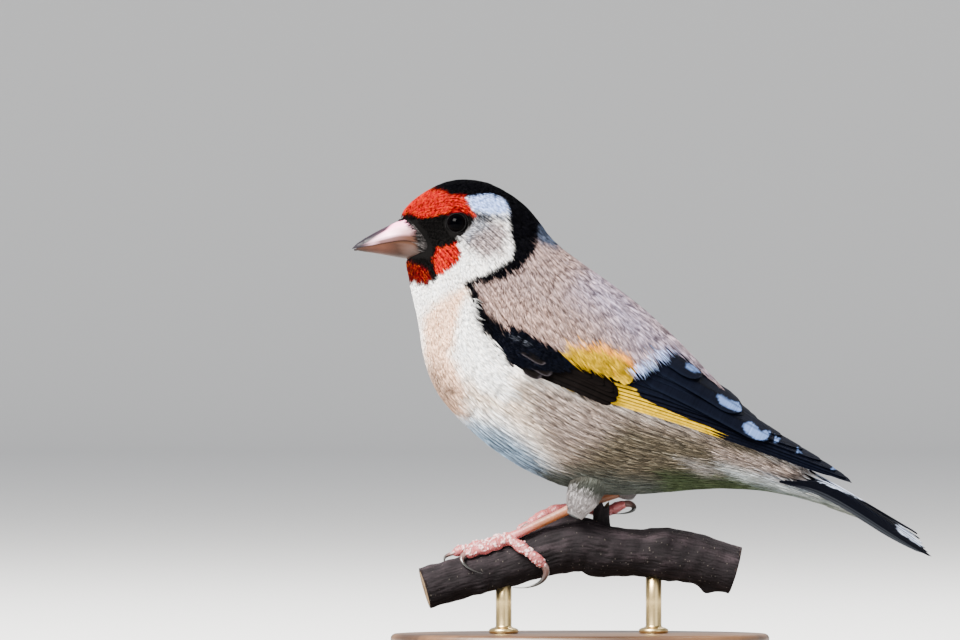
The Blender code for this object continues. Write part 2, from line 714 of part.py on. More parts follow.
def tail_vane(side, share):
    """A tail feather, rolled outwards more the further it lies from the middle pair."""
    flip = np.array((1, side, 1))
    root = read_lines(TAIL_ROOTS, share) * flip
    tip = read_lines(TAIL_TIPS, share * 2) * flip
    if side == RIGHT:
        root, tip = root - (0, 0, TAIL_DROP), tip - (0, 0, TAIL_DROP)
    ahead = unit(tip - root)
    roll = math.radians(np.interp(share, (0, 1), TAIL_ROLLS))
    flat = unit(np.cross((0, 0, 1), ahead)) * -side
    up = np.cross(ahead, flat)
    up = up if up[2] > 0 else -up
    across = flat * math.cos(roll) - up * math.sin(roll)
    normal = up * math.cos(roll) + flat * math.sin(roll)
    rings = []
    for t, width in TAIL_OUTLINE:
        middle = root + (tip - root) * t
        half = across * width * TAIL_HALF_WIDTH
        thick = normal * FEATHER_THICKNESS * (1 - 0.4 * t**4)
        inner, outer = middle - half, middle + half + ahead * TAIL_SKEW * t**6
        rings.append((inner, outer, outer - thick, inner - thick))
    return ring_solid("tail_vane", rings, "black_feather", alike=True)


def make_tail(whole):
    """Twelve feathers out of the tip of the body, which the tail coverts fill."""
    tail = slice_off(copy_of(whole, "tail", "black_feather"), TAIL_CUT, keep_back=True, gap=GAP)
    shares = np.linspace(0, 1, TAIL_PAIRS)
    vanes = [tail_vane(side, share) for share in shares for side in (LEFT, RIGHT)]
    return combine(tail, vanes, "UNION")


def perch_frame(x):
    """Middle, radius and the directions along, up and to the left of the perch at a place."""
    at = np.interp(x, [row[0] for row in PERCH_LINES], range(len(PERCH_LINES)))
    row, ahead = read_lines(PERCH_LINES, at), read_lines(PERCH_LINES, at + 0.05)
    if at + 0.05 > len(PERCH_LINES) - 1:
        row_back = read_lines(PERCH_LINES, at - 0.05)
        along = unit(row[:3] - row_back[:3])
    else:
        along = unit(ahead[:3] - row[:3])
    left = unit(np.cross(along, (0, 0, 1)))
    up = np.cross(left, along)
    return row[:3], row[3], along, up, left


def bark_radius(x, turn):
    """The perch's radius at a place along and round it, with its knots and its low ripples."""
    radius = perch_frame(x)[1]
    for knot_x, knot_turn, reach, height in KNOTS:
        around = math.radians((turn - knot_turn + 180) % 360 - 180) * radius
        radius += height * math.exp(-((x - knot_x) ** 2 + around**2) / reach**2)
    a = math.radians(turn)
    return radius + 0.1 * math.sin(1.3 * x + 3 * a) * math.cos(0.7 * x - 2 * a)


def on_perch(x, turn, lift):
    """A point over the perch's bark, turned from its top towards the bird's left."""
    middle, _, _, up, left = perch_frame(x)
    a = math.radians(turn)
    return middle + (bark_radius(x, turn) + lift) * (math.cos(a) * up + math.sin(a) * left)


def make_perch():
    around = 14
    turns = np.arange(around) * 360 / around
    places = np.linspace(PERCH_LINES[0][0], PERCH_LINES[-1][0], 32)
    perch = ring_solid("perch", [[on_perch(x, a, 0.0) for a in turns] for x in places], "bark")
    foot, top, radius = STUB
    radii = radius * np.array((1.3, 1.15, 1.0, 0.95, 0.7))
    stub = tube("stub", np.linspace(foot, top, 5), radii, "bark")
    return combine(perch, [stub], "UNION")


def make_stand(perch):
    """An oval base with a rounded upper edge, and two rods up to the perch."""
    rings, around = [], 40
    shape = ((0.4, 0.0), (0.0, 0.4), (0.0, BASE_HEIGHT - BASE_EDGE))
    shape += tuple(
        (BASE_EDGE * (1 - math.cos(a)), BASE_HEIGHT - BASE_EDGE * (1 - math.sin(a)))
        for a in (math.pi / 6, math.pi / 3, math.pi / 2)
    )
    for inset, z in shape:
        ring = []
        for k in range(around):
            a = 2 * math.pi * k / around
            x = (BASE_HALF_LENGTH - inset) * math.cos(a)
            ring.append((x, (BASE_HALF_WIDTH - inset) * math.sin(a), z))
        rings.append(ring)
    ring_solid("stand_base", rings, "base_wood")
    for name, (x, y) in ROD_PLACES.items():
        top = perch_frame(x)[0][2]
        path = [(x, y, z) for z in np.linspace(BASE_HEIGHT + GAP, top, 5)]
        rod = tube(f"stand_rod_{name}", path, ROD_RADIUS, "rod_metal", around=16)
        combine(rod, [grown(perch)], "DIFFERENCE")


def toe_path(side, toe):
    """Points along a toe from the foot's middle to the claw's root."""
    start = np.array(FOOT_PLACES[side])
    middle, end = map(np.array, TOES[side][toe])
    points = []
    for t in np.linspace(0, 1, 7):
        # one smooth curve through the foot, the toe's middle and its end
        pull = 2 * middle - (start + end) / 2
        x, turn, lift = (1 - t) ** 2 * start + 2 * t * (1 - t) * pull + t**2 * end
        points.append(on_perch(x, turn, TOE_RADIUS + TOE_LIFT + lift))
    return np.array(points)


def make_claw(side, word, toe, cutters):
    """A claw from just past the toe's end to its sharp tip."""
    path = toe_path(side, toe)
    ahead = unit(path[-1] - path[-2])
    start = path[-1] + ahead * GAP
    lead = start + ahead * (HIND_CLAW_LEAD if toe == "hind" else FRONT_CLAW_LEAD)
    bend, tip = (on_perch(*place) for place in CLAWS[side][toe])
    points = []
    for t in np.linspace(0, 1, 8):
        s = 1 - t
        points.append(s**3 * start + 3 * t * s**2 * lead + 3 * t**2 * s * bend + t**3 * tip)
    radius = HIND_CLAW_RADIUS if toe == "hind" else FRONT_CLAW_RADIUS
    radii = radius * (1 - CLAW_TAPER * np.linspace(0, 1, 8) ** 1.3)
    claw = tube(f"claw_{word}_{toe}", points, radii, "claw_horn", around=6)
    combine(claw, [copy_of(cutter, "cutter", "bark") for cutter in cutters], "DIFFERENCE")


def make_foot(side, word, perch_cutter):
    """Toes with swollen pads, fused at the foot's middle with the stump of the leg."""
    x, turn, lift = FOOT_PLACES[side]
    joint = on_perch(x, turn, TOE_RADIUS + lift)
    up_leg = unit(np.array(HEELS[side]) - joint)
    stump_end = joint + up_leg * STUMP_LENGTH
    pieces = [tube("stump", [joint - up_leg * 0.3, stump_end], TARSUS_RADIUS * 1.12, "leg_skin")]
    for toe in TOES[side]:
        path = toe_path(side, toe)
        pads = TOE_RADIUS * (1 + PAD_SWELL * np.sin(np.linspace(0, 5 * math.pi, len(path))))
        pads[-1] = HIND_CLAW_RADIUS * 1.25 if toe == "hind" else FRONT_CLAW_RADIUS * 1.4
        pieces.append(tube(f"toe_{toe}", path, pads, "leg_skin", around=7))
    foot = ball(f"foot_{word}", joint, TOE_RADIUS * 1.25, "leg_skin", rows=5, around=8)
    combine(foot, pieces, "UNION")
    combine(foot, [copy_of(perch_cutter, "cutter", "bark")], "DIFFERENCE")
    foot_cutter = grown(foot)
    for toe in TOES[side]:
        make_claw(side, word, toe, (perch_cutter, foot_cutter))
    return stump_end + up_leg * GAP, foot_cutter


def make_leg(side, word, body_cutter, perch_cutter):
    """The feathered thigh out of the body, and the bare leg down to the foot."""
    ankle, foot_cutter = make_foot(side, word, perch_cutter)
    path = np.linspace(THIGH_TOPS[side], THIGH_ENDS[side], len(THIGH_RADII))
    thigh = tube(f"thigh_{word}", path, THIGH_RADII, "pale_feather", around=12)
    thigh_cutter = grown(thigh)
    combine(thigh, [copy_of(body_cutter, "cutter", "pale_feather")], "DIFFERENCE")
    radii = TARSUS_RADIUS * np.array((1.12, 1.0, 0.94, 0.92, 0.95, 1.0))
    leg = tube(f"leg_{word}", np.linspace(ankle, HEELS[side], 6), radii, "leg_skin")
    cutters = [thigh_cutter, foot_cutter, copy_of(body_cutter, "cutter", "leg_skin")]
    combine(leg, cutters, "DIFFERENCE")


def main():
    clear_scene()
    whole = body_whole()
    body_cutter = grown(whole)
    make_head(whole)
    make_neck(whole)
    make_torso(whole)
    make_eyes()
    make_bill(body_cutter)
    make_wings(body_cutter)
    make_tail(whole)
    perch = make_perch()
    make_stand(perch)
    perch_cutter = grown(perch, 0.2)
    for side, word in ((LEFT, "left"), (RIGHT, "right")):
        make_leg(side, word, body_cutter, perch_cutter)
    for helper in (whole, body_cutter, perch_cutter):
        bpy.data.objects.remove(helper)
    for thing in bpy.context.scene.collection.objects:
        thing.data.shade_smooth()
        thing.data.set_sharp_from_angle(angle=math.radians(40))


main()
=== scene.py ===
import math

import bpy
import numpy as np
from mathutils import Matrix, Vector, kdtree


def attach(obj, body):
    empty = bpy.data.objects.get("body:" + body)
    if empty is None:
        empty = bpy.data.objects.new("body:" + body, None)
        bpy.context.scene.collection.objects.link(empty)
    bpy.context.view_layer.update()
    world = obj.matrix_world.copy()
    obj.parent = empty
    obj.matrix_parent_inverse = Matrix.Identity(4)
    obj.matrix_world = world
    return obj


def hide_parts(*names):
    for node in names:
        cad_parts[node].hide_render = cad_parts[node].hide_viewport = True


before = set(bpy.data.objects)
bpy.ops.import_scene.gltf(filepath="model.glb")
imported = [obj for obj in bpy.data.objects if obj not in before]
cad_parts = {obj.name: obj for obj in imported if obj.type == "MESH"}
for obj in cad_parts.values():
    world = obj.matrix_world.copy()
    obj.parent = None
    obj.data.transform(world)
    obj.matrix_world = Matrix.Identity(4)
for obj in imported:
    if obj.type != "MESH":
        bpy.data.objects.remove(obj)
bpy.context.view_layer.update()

# The bird's skin: one closed skin over head, neck, body and thighs, hidden by the plumage.
# It is drawn over lines that cross the body, like the skin of a mounted bird over its form,
# and carries the plumage's own colours, painted darker as shade and black under the closed
# wing, so that nothing bare shows between the feathers.
MM = 0.001
LEFT, RIGHT = -1, 1
SIDES = ((LEFT, "left"), (RIGHT, "right"))
SKIN_DEPTH = 0.95  # how far the skin lies under the feathers' tips on the body, in millimetres
FACE_DEPTH = 0.5
# Across the body from the face to the tail coverts: the back (x, z), the belly (x, z), the half
# width, and how far the widest place sits to the back
BODY_LINES = (
    (-34.3, 85.0, -33.6, 77.6, 1.5, 0.00),
    (-32.7, 87.3, -33.2, 76.0, 2.9, 0.00),
    (-30.4, 89.2, -32.6, 73.9, 4.5, 0.05),
    (-27.7, 90.8, -32.1, 71.4, 6.3, 0.10),
    (-24.7, 91.9, -31.6, 69.2, 7.7, 0.14),
    (-21.5, 92.2, -31.0, 66.7, 8.6, 0.15),
    (-17.7, 91.6, -30.4, 63.3, 9.2, 0.12),
    (-13.8, 89.7, -29.7, 58.7, 9.8, 0.06),
    (-10.2, 87.0, -28.3, 54.2, 10.8, 0.02),
    (-7.3, 83.5, -26.0, 50.2, 12.2, 0.00),
    (-4.2, 79.2, -22.3, 46.2, 13.6, 0.00),
    (0.4, 75.9, -17.7, 42.0, 14.8, 0.02),
    (6.0, 72.0, -11.5, 37.9, 15.3, 0.04),
    (12.4, 67.0, -4.0, 34.4, 14.8, 0.04),
    (18.2, 61.3, 4.8, 32.5, 13.2, 0.02),
    (24.2, 54.9, 14.3, 32.8, 11.0, 0.00),
    (30.5, 48.2, 23.8, 33.6, 8.6, 0.00),
    (37.4, 42.0, 33.2, 33.4, 6.3, 0.00),
    (44.2, 36.4, 41.6, 31.9, 4.5, 0.00),
    (50.0, 33.2, 48.2, 29.8, 3.4, 0.00),
    (54.6, 30.9, 53.0, 27.9, 2.8, 0.00),
)
SKIN_END = 19  # the last lines only carry the tips of the tail coverts
BODY_SQUARENESS = 2.15  # 2 is an ellipse
# Swellings and hollows of the head: x, z, reach and height
HEAD_FORMS = (
    (-18.2, 79.5, 5.0, 0.7),
    (-23.6, 84.0, 2.6, -0.5),
    (-24.6, 87.6, 2.8, 0.4),
    (-29.3, 82.4, 2.4, -0.4),
    (-30.9, 79.4, 2.8, -1.8),
)
# The closed wing's outer surface, by lines like those of the body
WING_LINES = (
    (-16.2, 86.4, -29.6, 56.0, 10.6, 0.0),
    (-8.0, 83.0, -25.6, 50.4, 13.0, 0.0),
    (0.4, 76.6, -17.7, 41.8, 15.7, 0.0),
    (6.0, 72.6, -11.5, 37.6, 16.6, 0.0),
    (12.4, 67.6, -4.0, 34.0, 16.5, 0.0),
    (19.0, 61.8, 4.8, 32.1, 15.2, 0.0),
    (25.0, 55.7, 14.3, 31.4, 13.0, 0.0),
    (31.4, 49.7, 23.8, 31.4, 10.4, 0.0),
    (38.0, 45.0, 33.2, 31.4, 8.0, 0.0),
    (44.7, 41.0, 41.8, 30.4, 5.7, 0.0),
    (51.3, 37.0, 49.4, 29.1, 3.8, 0.0),
    (57.0, 33.8, 56.0, 27.6, 2.6, 0.0),
)
# Side outline of the plumage that lies over the wing: breast side, scapulars and mantle
OVER_WING = (
    (-25.0, 73.0), (-23.0, 63.0), (-18.5, 56.8), (-13.5, 53.4), (-11.6, 55.6), (-13.0, 60.0),
    (-8.0, 59.5), (-1.5, 55.6), (4.0, 53.4), (10.0, 52.6), (15.0, 53.8), (19.0, 57.0),
    (24.0, 53.2), (28.0, 50.6), (36.0, 52.0), (12.0, 80.0), (-8.0, 96.0), (-22.0, 88.0),
)
OVER_WING_LIFT = 0.75  # over the wing's outer surface
# Side outline of what shows of the closed wing, over which no feathers of the body lie
OPEN_WING = (
    (-20.5, 67.1), (-18.3, 62.0), (-16.4, 59.0), (-14.2, 57.1), (-12.3, 55.2), (-10.1, 54.5),
    (-6.8, 53.5), (-4.1, 52.4), (0.0, 50.2), (4.1, 48.8), (6.8, 48.3), (10.1, 48.1),
    (13.3, 47.0), (16.5, 45.9), (19.6, 45.0), (22.8, 44.0), (26.9, 43.0), (33.7, 41.6),
    (38.4, 40.1), (41.6, 38.8), (44.8, 37.2), (47.9, 36.3), (51.7, 35.2), (50.4, 36.9),
    (47.9, 38.4), (44.8, 40.1), (41.6, 41.6), (38.4, 43.5), (35.3, 46.0), (31.5, 49.2),
    (28.3, 51.7), (25.8, 54.0), (23.4, 55.8), (21.5, 57.7), (18.6, 59.5), (17.2, 58.5),
    (16.3, 57.2), (14.4, 55.9), (12.4, 54.7), (10.1, 54.3), (6.5, 54.5), (3.8, 55.1),
    (1.1, 55.9), (-1.5, 57.8), (-1.5, 58.7), (-4.2, 59.9), (-6.8, 61.2), (-8.9, 62.5),
    (-11.0, 63.8), (-14.1, 64.4), (-17.5, 65.9), (-18.8, 67.8), (-20.1, 70.3),
)
THIGH_TOPS = {LEFT: (3.4, -4.9, 38.5), RIGHT: (10.5, 5.2, 42.0)}
THIGH_ENDS = {LEFT: (-1.2, -5.5, 28.2), RIGHT: (8.6, 7.7, 31.6)}
THIGH_RADII = (2.6, 3.1, 3.4, 3.4, 3.1, 2.6, 1.7)


def unit(v):
    return v / np.maximum(np.linalg.norm(v, axis=-1, keepdims=True), 1e-12)


def ease(low, high, value):
    t = np.clip((value - low) / (high - low), 0, 1)
    return t * t * (3 - 2 * t)


def mix(colour, paint, share):
    """A colour blended towards a paint, by a share for each place."""
    return colour + (np.array(paint) - colour) * np.asarray(share)[..., None]


def full_turn(count):
    return np.arange(count) * 2 * math.pi / count


def spokes_at(turns, first, second):
    """Directions at turns in radians from a first direction towards a second one."""
    return np.cos(turns)[..., None] * first + np.sin(turns)[..., None] * second


def read_lines(table, at):
    """Rows of a table on one smooth curve; at counts its rows and may lie between them."""
    rows = np.asarray(table, float)
    at = np.clip(np.asarray(at, float), 0, len(rows) - 1)
    first = np.minimum(at.astype(int), len(rows) - 2)
    t = (at - first)[..., None]
    p1, p2 = rows[first], rows[first + 1]
    p0 = np.where((first > 0)[..., None], rows[np.maximum(first - 1, 0)], 2 * p1 - p2)
    last = (first + 2 > len(rows) - 1)[..., None]
    p3 = np.where(last, 2 * p2 - p1, rows[np.minimum(first + 2, len(rows) - 1)])
    a, b = (p2 - p0) / 2, (p3 - p1) / 2
    return (
        (2 * t**3 - 3 * t**2 + 1) * p1
        + (t**3 - 2 * t**2 + t) * a
        + (3 * t**2 - 2 * t**3) * p2
        + (t**3 - t**2) * b
    )


def line_point(lines, u, v):
    """A point of a form over lines: u counts the lines, v turns from the back to the left."""
    row = read_lines(lines, u)
    top, low = row[..., 0:2], row[..., 2:4]
    c, s = np.cos(v), np.sin(v)
    power = 2 / BODY_SQUARENESS
    along = np.sign(c) * np.abs(c) ** power
    across = np.sign(s) * np.abs(s) ** power * (1 + row[..., 5] * c)
    flat = (top + low) / 2 + (top - low) / 2 * along[..., None]
    return np.stack([flat[..., 0], -row[..., 4] * across, flat[..., 1]], -1)


def line_slopes(lines, u, v):
    """How a form's point moves with u and with v."""
    step, last = 2e-3, len(lines) - 1
    u0, u1 = np.clip(u - step, 0, last), np.clip(u + step, 0, last)
    du = (line_point(lines, u1, v) - line_point(lines, u0, v)) / (u1 - u0)[..., None]
    dv = (line_point(lines, u, v + step) - line_point(lines, u, v - step)) / (2 * step)
    return du, dv


def line_at(lines, x, z):
    """The (u, v) of a form's left side where it is seen at x, z from the side."""
    x, z = np.broadcast_arrays(np.asarray(x, float), np.asarray(z, float))
    low = np.zeros(x.shape)
    high = np.full(x.shape, len(lines) - 1.0)
    for _ in range(22):
        middle = (low + high) / 2
        row = read_lines(lines, middle)
        side = (row[..., 2] - row[..., 0]) * (z - row[..., 1])
        side = side - (row[..., 3] - row[..., 1]) * (x - row[..., 0])
        low, high = np.where(side > 0, middle, low), np.where(side > 0, high, middle)
    row = read_lines(lines, low)
    length = (row[..., 2] - row[..., 0]) ** 2 + (row[..., 3] - row[..., 1]) ** 2
    share = (x - row[..., 0]) * (row[..., 2] - row[..., 0])
    share = (share + (z - row[..., 1]) * (row[..., 3] - row[..., 1])) / length
    along = np.clip(1 - 2 * share, -0.9999, 0.9999)
    c = np.sign(along) * np.abs(along) ** (BODY_SQUARENESS / 2)
    return low, np.arccos(c)


def depth_in(outline, x, z):
    """How far a side-view point lies inside an outline, and below zero how far outside it."""
    corners = np.asarray(outline, float)
    nearest = np.full(np.shape(x), 1e9)
    inside = np.zeros(np.shape(x), bool)
    for (x0, z0), (x1, z1) in zip(corners, np.roll(corners, -1, axis=0)):
        dx, dz = x1 - x0, z1 - z0
        t = np.clip(((x - x0) * dx + (z - z0) * dz) / (dx * dx + dz * dz), 0, 1)
        nearest = np.minimum(nearest, (x - x0 - t * dx) ** 2 + (z - z0 - t * dz) ** 2)
        if z0 != z1:
            crossing = (z0 > z) != (z1 > z)
            inside ^= crossing & (x < x0 + (z - z0) * dx / dz)
    return np.sqrt(nearest) * np.where(inside, 1, -1)


def body_surface(u, v, lift):
    """Points at a height over the body, with the head's forms and the rise over the wing."""
    found = line_point(BODY_LINES, u, v)
    du, dv = line_slopes(BODY_LINES, u, v)
    normal = unit(np.cross(dv, du))
    x, z = found[..., 0], found[..., 2]
    height = np.zeros(x.shape) + lift
    for form_x, form_z, reach, rise in HEAD_FORMS:
        height = height + rise * np.exp(-((x - form_x) ** 2 + (z - form_z) ** 2) / reach**2)
    over = ease(-3.5, 0.3, depth_in(OVER_WING, x, z))
    wing_y = np.abs(line_point(WING_LINES, *line_at(WING_LINES, x, z))[..., 1])
    rise = np.clip(wing_y + OVER_WING_LIFT - np.abs(found[..., 1]), 0, 4)
    height = height + over * rise * np.abs(normal[..., 1])
    return found + normal * height[..., None], normal


# Markings, side outlines in millimetres seen from the left; the right side mirrors them.
# Each is colour, softness of the edge, how much the barbs differ in shade, and outline
WHITE = (0.93, 0.92, 0.91)
WHITE_IN_BLUE_SHADE = (0.34, 0.47, 0.84)
BELLY_WHITE_IN_SHADE = (0.185, 0.26, 0.35)
VENT_WHITE = (0.36, 0.385, 0.39)
VENT_GREEN_SHADOW = (0.036, 0.047, 0.023)
PALE_STREAK = (0.22, 0.20, 0.185)
SHADOW_GREY = (0.045, 0.047, 0.055)
EAR_GREY = (0.25, 0.205, 0.205)
GREY = (0.17, 0.175, 0.20)
BELLY_SHADOW_GREY = (0.055, 0.060, 0.052)
BUFF = (0.82, 0.53, 0.37)
DEEP_BUFF = (0.26, 0.17, 0.125)
TAUPE = (0.228, 0.160, 0.150)
GREY_TAUPE = (0.255, 0.212, 0.275)
WARM_TAUPE = (0.275, 0.184, 0.160)
PALE_FLANK = (0.60, 0.49, 0.40)
FLANK = (0.225, 0.176, 0.152)
BROWN = (0.080, 0.066, 0.046)
BLACK = (0.0005, 0.0005, 0.0011)
SOOT = (0.0020, 0.0018, 0.0018)
RED = (0.29, 0.0006, 0.003)
CRIMSON = (0.045, 0.0004, 0.0015)
DEEP_RED = (0.075, 0.0004, 0.002)
YELLOW = (0.37, 0.225, 0.0)
PEACH = (0.70, 0.27, 0.03)
NAPE_BLUE = (0.040, 0.050, 0.078)
MARKINGS = (
    # colour, softness, shade of barbs, outline
    # painted shade: the white belly is painted blue-grey
    (BELLY_WHITE_IN_SHADE, 3.0, 0.8, ((-28, 45), (-21, 46.5), (-14, 45), (-8, 41.5), (-4, 37), (2, 34),
     (30, 40), (46, 36), (46, 25), (-10, 28), (-30, 36))),
    (PALE_FLANK, 2.5, 0.26, ((-21, 54), (-17, 55), (-9, 54), (0, 51), (12, 48), (34, 42), (34, 36),
     (24, 33), (8, 32), (-1, 34), (-6, 40), (-13, 46), (-21, 48.5))),
    (FLANK, 3.0, 0.34, ((-7, 54), (0, 51.5), (12, 48), (34, 42), (36, 38), (26, 33), (10, 31),
     (2, 33.5), (-2, 37), (-5.5, 41.5), (-8.5, 46), (-9, 50.5))),
    (BROWN, 3.2, 0.42, ((10, 46), (22, 44), (31, 42), (31, 37), (25, 33), (12, 30), (0, 32),
     (-1, 38), (4, 42))),
    # painted shadow: the lower belly between the thighs is painted dark grey
    (BELLY_SHADOW_GREY, 2.2, 0.3, ((-6, 37), (2, 37), (10, 36), (24, 35), (32, 35), (32, 28), (0, 26),
     (-8, 32))),
    (VENT_WHITE, 1.6, 0.3, ((27, 38.4), (31, 37.8), (36.5, 35.6), (42, 34), (50, 31.4), (50, 28),
     (40, 31.5), (30, 34.6))),
    # painted shadow under the tail coverts, tinted by a painted green reflection
    (VENT_GREEN_SHADOW, 1.4, 0.3, ((16, 37), (24, 36.8), (29, 36), (35, 34.2), (42, 32.2), (48, 30.6),
     (54, 28.4), (52, 25), (40, 24), (18, 28))),
    (PALE_STREAK, 0.9, 0.3, ((20, 39.2), (23, 38.7), (27.2, 36.6), (26.4, 35.4), (22, 36.8))),
    (FLANK, 1.4, 0.36, ((26, 43), (30.4, 41), (37, 39.2), (44.5, 36.5), (44.3, 35), (39.9, 34.4),
     (32.3, 37.2), (26.7, 38.8))),
    # painted shadow: a dark brown strip just under the wing's lower edge
    (BROWN, 1.0, 0.4, ((27, 43), (31, 42.4), (38, 40.6), (42, 39), (41, 37.6), (37, 38.8),
     (31, 40.2), (27, 41.4))),
    (BUFF, 1.4, 0.16, ((-20, 72.6), (-24, 70.4), (-27.6, 68.2), (-29.9, 65.4), (-29.6, 58),
     (-26.2, 46), (-21, 47), (-21, 52), (-24, 58), (-22.8, 64), (-21.4, 68.4))),
    (DEEP_BUFF, 3.5, 0.26, ((-28, 57), (-25, 54.5), (-21.5, 51.5), (-22, 47), (-26, 47), (-29, 50),
     (-31, 56))),
    (TAUPE, 0.5, 0.30, ((-20.6, 71), (-19.6, 66.8), (-18.4, 64), (-14.6, 62.2), (-11.6, 61.6),
     (-9.4, 60.4), (-7.2, 59.2), (-4.6, 58), (-1.9, 56.6), (2, 54), (10, 52), (16, 54.2), (19, 56),
     (25.2, 51.6), (40, 41), (40, 60), (10, 90), (-8, 84), (-10, 78.6), (-14, 75.2),
     (-18.4, 73.2))),
    (WARM_TAUPE, 3.0, 0.30, ((-19, 69), (-17, 63), (-9, 60.5), (-4, 57.5), (2, 55.5), (4, 61),
     (-2, 64), (-9, 68), (-16, 71.5))),
    (GREY_TAUPE, 5.0, 0.30, ((4, 76), (12, 68), (24, 56), (28, 50), (20, 56), (12, 58), (6, 64),
     (0, 70))),
    (PEACH, 0.6, 0.2, ((-1.4, 59.6), (2.6, 60.2), (7, 59.2), (9.9, 57.6), (12.4, 54.9),
     (6.5, 53.3), (1.1, 54.7), (-2.6, 57.2))),
    (YELLOW, 0.4, 0.16, ((-1.6, 59.6), (2.4, 59.2), (5.6, 58.4), (8.4, 57.2), (9.9, 56.2),
     (10.4, 53.6), (12, 50), (4, 52), (1.1, 53.6), (-2.8, 57))),
    # painted shade: white feathers painted blue-grey
    (WHITE_IN_BLUE_SHADE, 0.7, 0.3, ((10, 55.5), (12.4, 56.1), (15, 57.4), (17.4, 59.2), (18.8, 59),
     (15.6, 54.5), (12.6, 52.8), (10.2, 53.6))),
    (WHITE, 1.2, 0.10, ((-22.4, 67), (-21.4, 69), (-20, 65.5), (-18.6, 62.2), (-17, 59.4),
     (-15, 57), (-12.6, 54), (-11, 50.5), (-14, 49.5), (-18.5, 52), (-21.4, 57), (-22.8, 62.5))),
    (WHITE, 0.6, 0.05, ((-44, 80), (-20, 90), (-8, 84), (-14, 74), (-20.3, 73), (-22.9, 72),
     (-25.8, 70.9), (-28, 69.8), (-30, 68), (-31.8, 66.2), (-44, 60))),
    (EAR_GREY, 1.8, 0.35, ((-20.4, 83.8), (-17.5, 84.8), (-14, 83.6), (-13, 80.4), (-14.4, 77.2),
     (-18, 76.6), (-21.2, 78.8), (-22.2, 81.6))),
    (GREY, 1.1, 0.45, ((-21.8, 81), (-20.6, 84.6), (-17, 84.6), (-16.6, 82.6), (-19.2, 81.6),
     (-21.4, 79.4))),
    # painted shade: white feathers painted blue-grey
    (WHITE_IN_BLUE_SHADE, 0.8, 0.12, ((-21.4, 90.2), (-16.6, 90.4), (-13, 88.2), (-12.8, 85.2), (-17, 85),
     (-20.8, 86))),
    (SHADOW_GREY, 0.55, 0.6, ((-20.9, 85.8), (-18.6, 85.6), (-16.2, 85.2), (-15, 84.7),
     (-16.6, 83.8), (-18.6, 83.8), (-20.6, 84.4))),
    (GREY, 0.5, 0.5, ((-16.6, 85.2), (-13.2, 85), (-13.2, 84.1), (-16.4, 84))),
    (NAPE_BLUE, 1.0, 0.12, ((-9, 85.4), (-6, 86), (-2.4, 80), (-4.2, 78.4), (-6.8, 79.4),
     (-8.6, 81.2))),
    (BLACK, 0.55, 0.6, ((-21.3, 72.6), (-20.8, 70), (-20.2, 67.6), (-19.2, 65), (-18.2, 63),
     (-16.2, 61), (-13.8, 61.2), (-14.4, 63.8), (-16.2, 65.5), (-17.7, 67.2), (-18.8, 69.4),
     (-20.1, 72.4))),
    (BLACK, 0.3, 0.3, ((-30.5, 96), (-28.5, 90), (-25.8, 89.4), (-24.3, 88.6), (-21.7, 88.4),
     (-19, 89), (-16.8, 89.1), (-15, 88.7), (-13.7, 87.7), (-13.2, 86.2), (-13.2, 84.3),
     (-12.8, 81.7), (-12.3, 79), (-12.8, 77.1), (-14.2, 75.8), (-15.9, 74.9), (-17.8, 73.9),
     (-19.9, 72.9), (-22, 71.9), (-21.4, 71.1), (-19.4, 71.9), (-17.4, 72.2), (-15.2, 72.6),
     (-13, 73.4), (-10.6, 75), (-8.7, 77.2), (-7.3, 80.3), (-7, 82.6), (-7.2, 85.2), (-4, 90),
     (-14, 100))),
    (CRIMSON, 0.6, 0.3, ((-40, 84), (-37.2, 90), (-30, 96), (-28.4, 90.9), (-26, 90.3),
     (-27.5, 88.6), (-32.2, 87), (-34.8, 85.6))),
    (RED, 0.3, 0.45, ((-40, 84), (-36, 86), (-33, 88.2), (-30.2, 89.5), (-28.5, 90.6),
     (-25.8, 90.2), (-24.3, 89.3), (-21.7, 89.3), (-21, 87.8), (-20.2, 86.2), (-19.5, 85),
     (-20.5, 84), (-22.2, 85), (-24.3, 85), (-27, 84.4), (-29.6, 84), (-30.7, 84.1), (-32.3, 85),
     (-34.2, 84.9))),
    (SOOT, 0.3, 0.4, ((-36, 85.2), (-34.3, 85.8), (-32.4, 86.2), (-30.7, 85.1), (-29.6, 85),
     (-27, 85.4), (-24.3, 86), (-22.2, 86), (-20.5, 85.1), (-19.9, 84.3), (-20.8, 83),
     (-22.3, 80.9), (-23.6, 79), (-26, 77.6), (-26.6, 75.6), (-26.8, 73.6), (-27.7, 72.2),
     (-29, 73), (-30.2, 74.4), (-32.9, 75.2), (-34.2, 75.6), (-38, 76))),
    (RED, 0.3, 0.45, ((-23.2, 80.1), (-22.3, 78), (-22.6, 76.3), (-24.3, 74.8), (-25.9, 73.7),
     (-27.1, 73.9), (-27.8, 76.3), (-27.1, 79), (-24.5, 79.3))),
    (CRIMSON, 0.45, 0.4, ((-38, 76.4), (-32.9, 76.4), (-30.4, 75.6), (-29.1, 75.1), (-28, 73.2),
     (-28.3, 72), (-29, 71.5), (-29.9, 72.2), (-30.6, 71.6), (-31.4, 72.5), (-32, 71.9),
     (-38, 73))),
    (DEEP_RED, 0.5, 0.45, ((-31.4, 75.4), (-30.2, 75.2), (-29.2, 74.8), (-28.2, 73), (-28.6, 72.2),
     (-30.6, 72.2))),
)


def plumage_colour(x, z, ragged):
    """Colour and spread of shade of the plumage at side-view places; ragged moves the edges."""
    # painted shade: the plumage is painted up to an eighth darker towards the underside
    belly = ease(44, 34, z + 0.12 * x)[..., None]
    colour = np.zeros(np.shape(x) + (3,)) + WHITE
    colour = colour * (1 - belly * 0.12)
    shade = np.full(np.shape(x), 0.08)
    for paint, softness, spread, outline in MARKINGS:
        share = ease(-softness, softness, depth_in(outline, x, z) + ragged * (0.3 + softness / 3))
        colour = mix(colour, paint, share)
        shade = shade + (spread - shade) * share
    return colour, shade


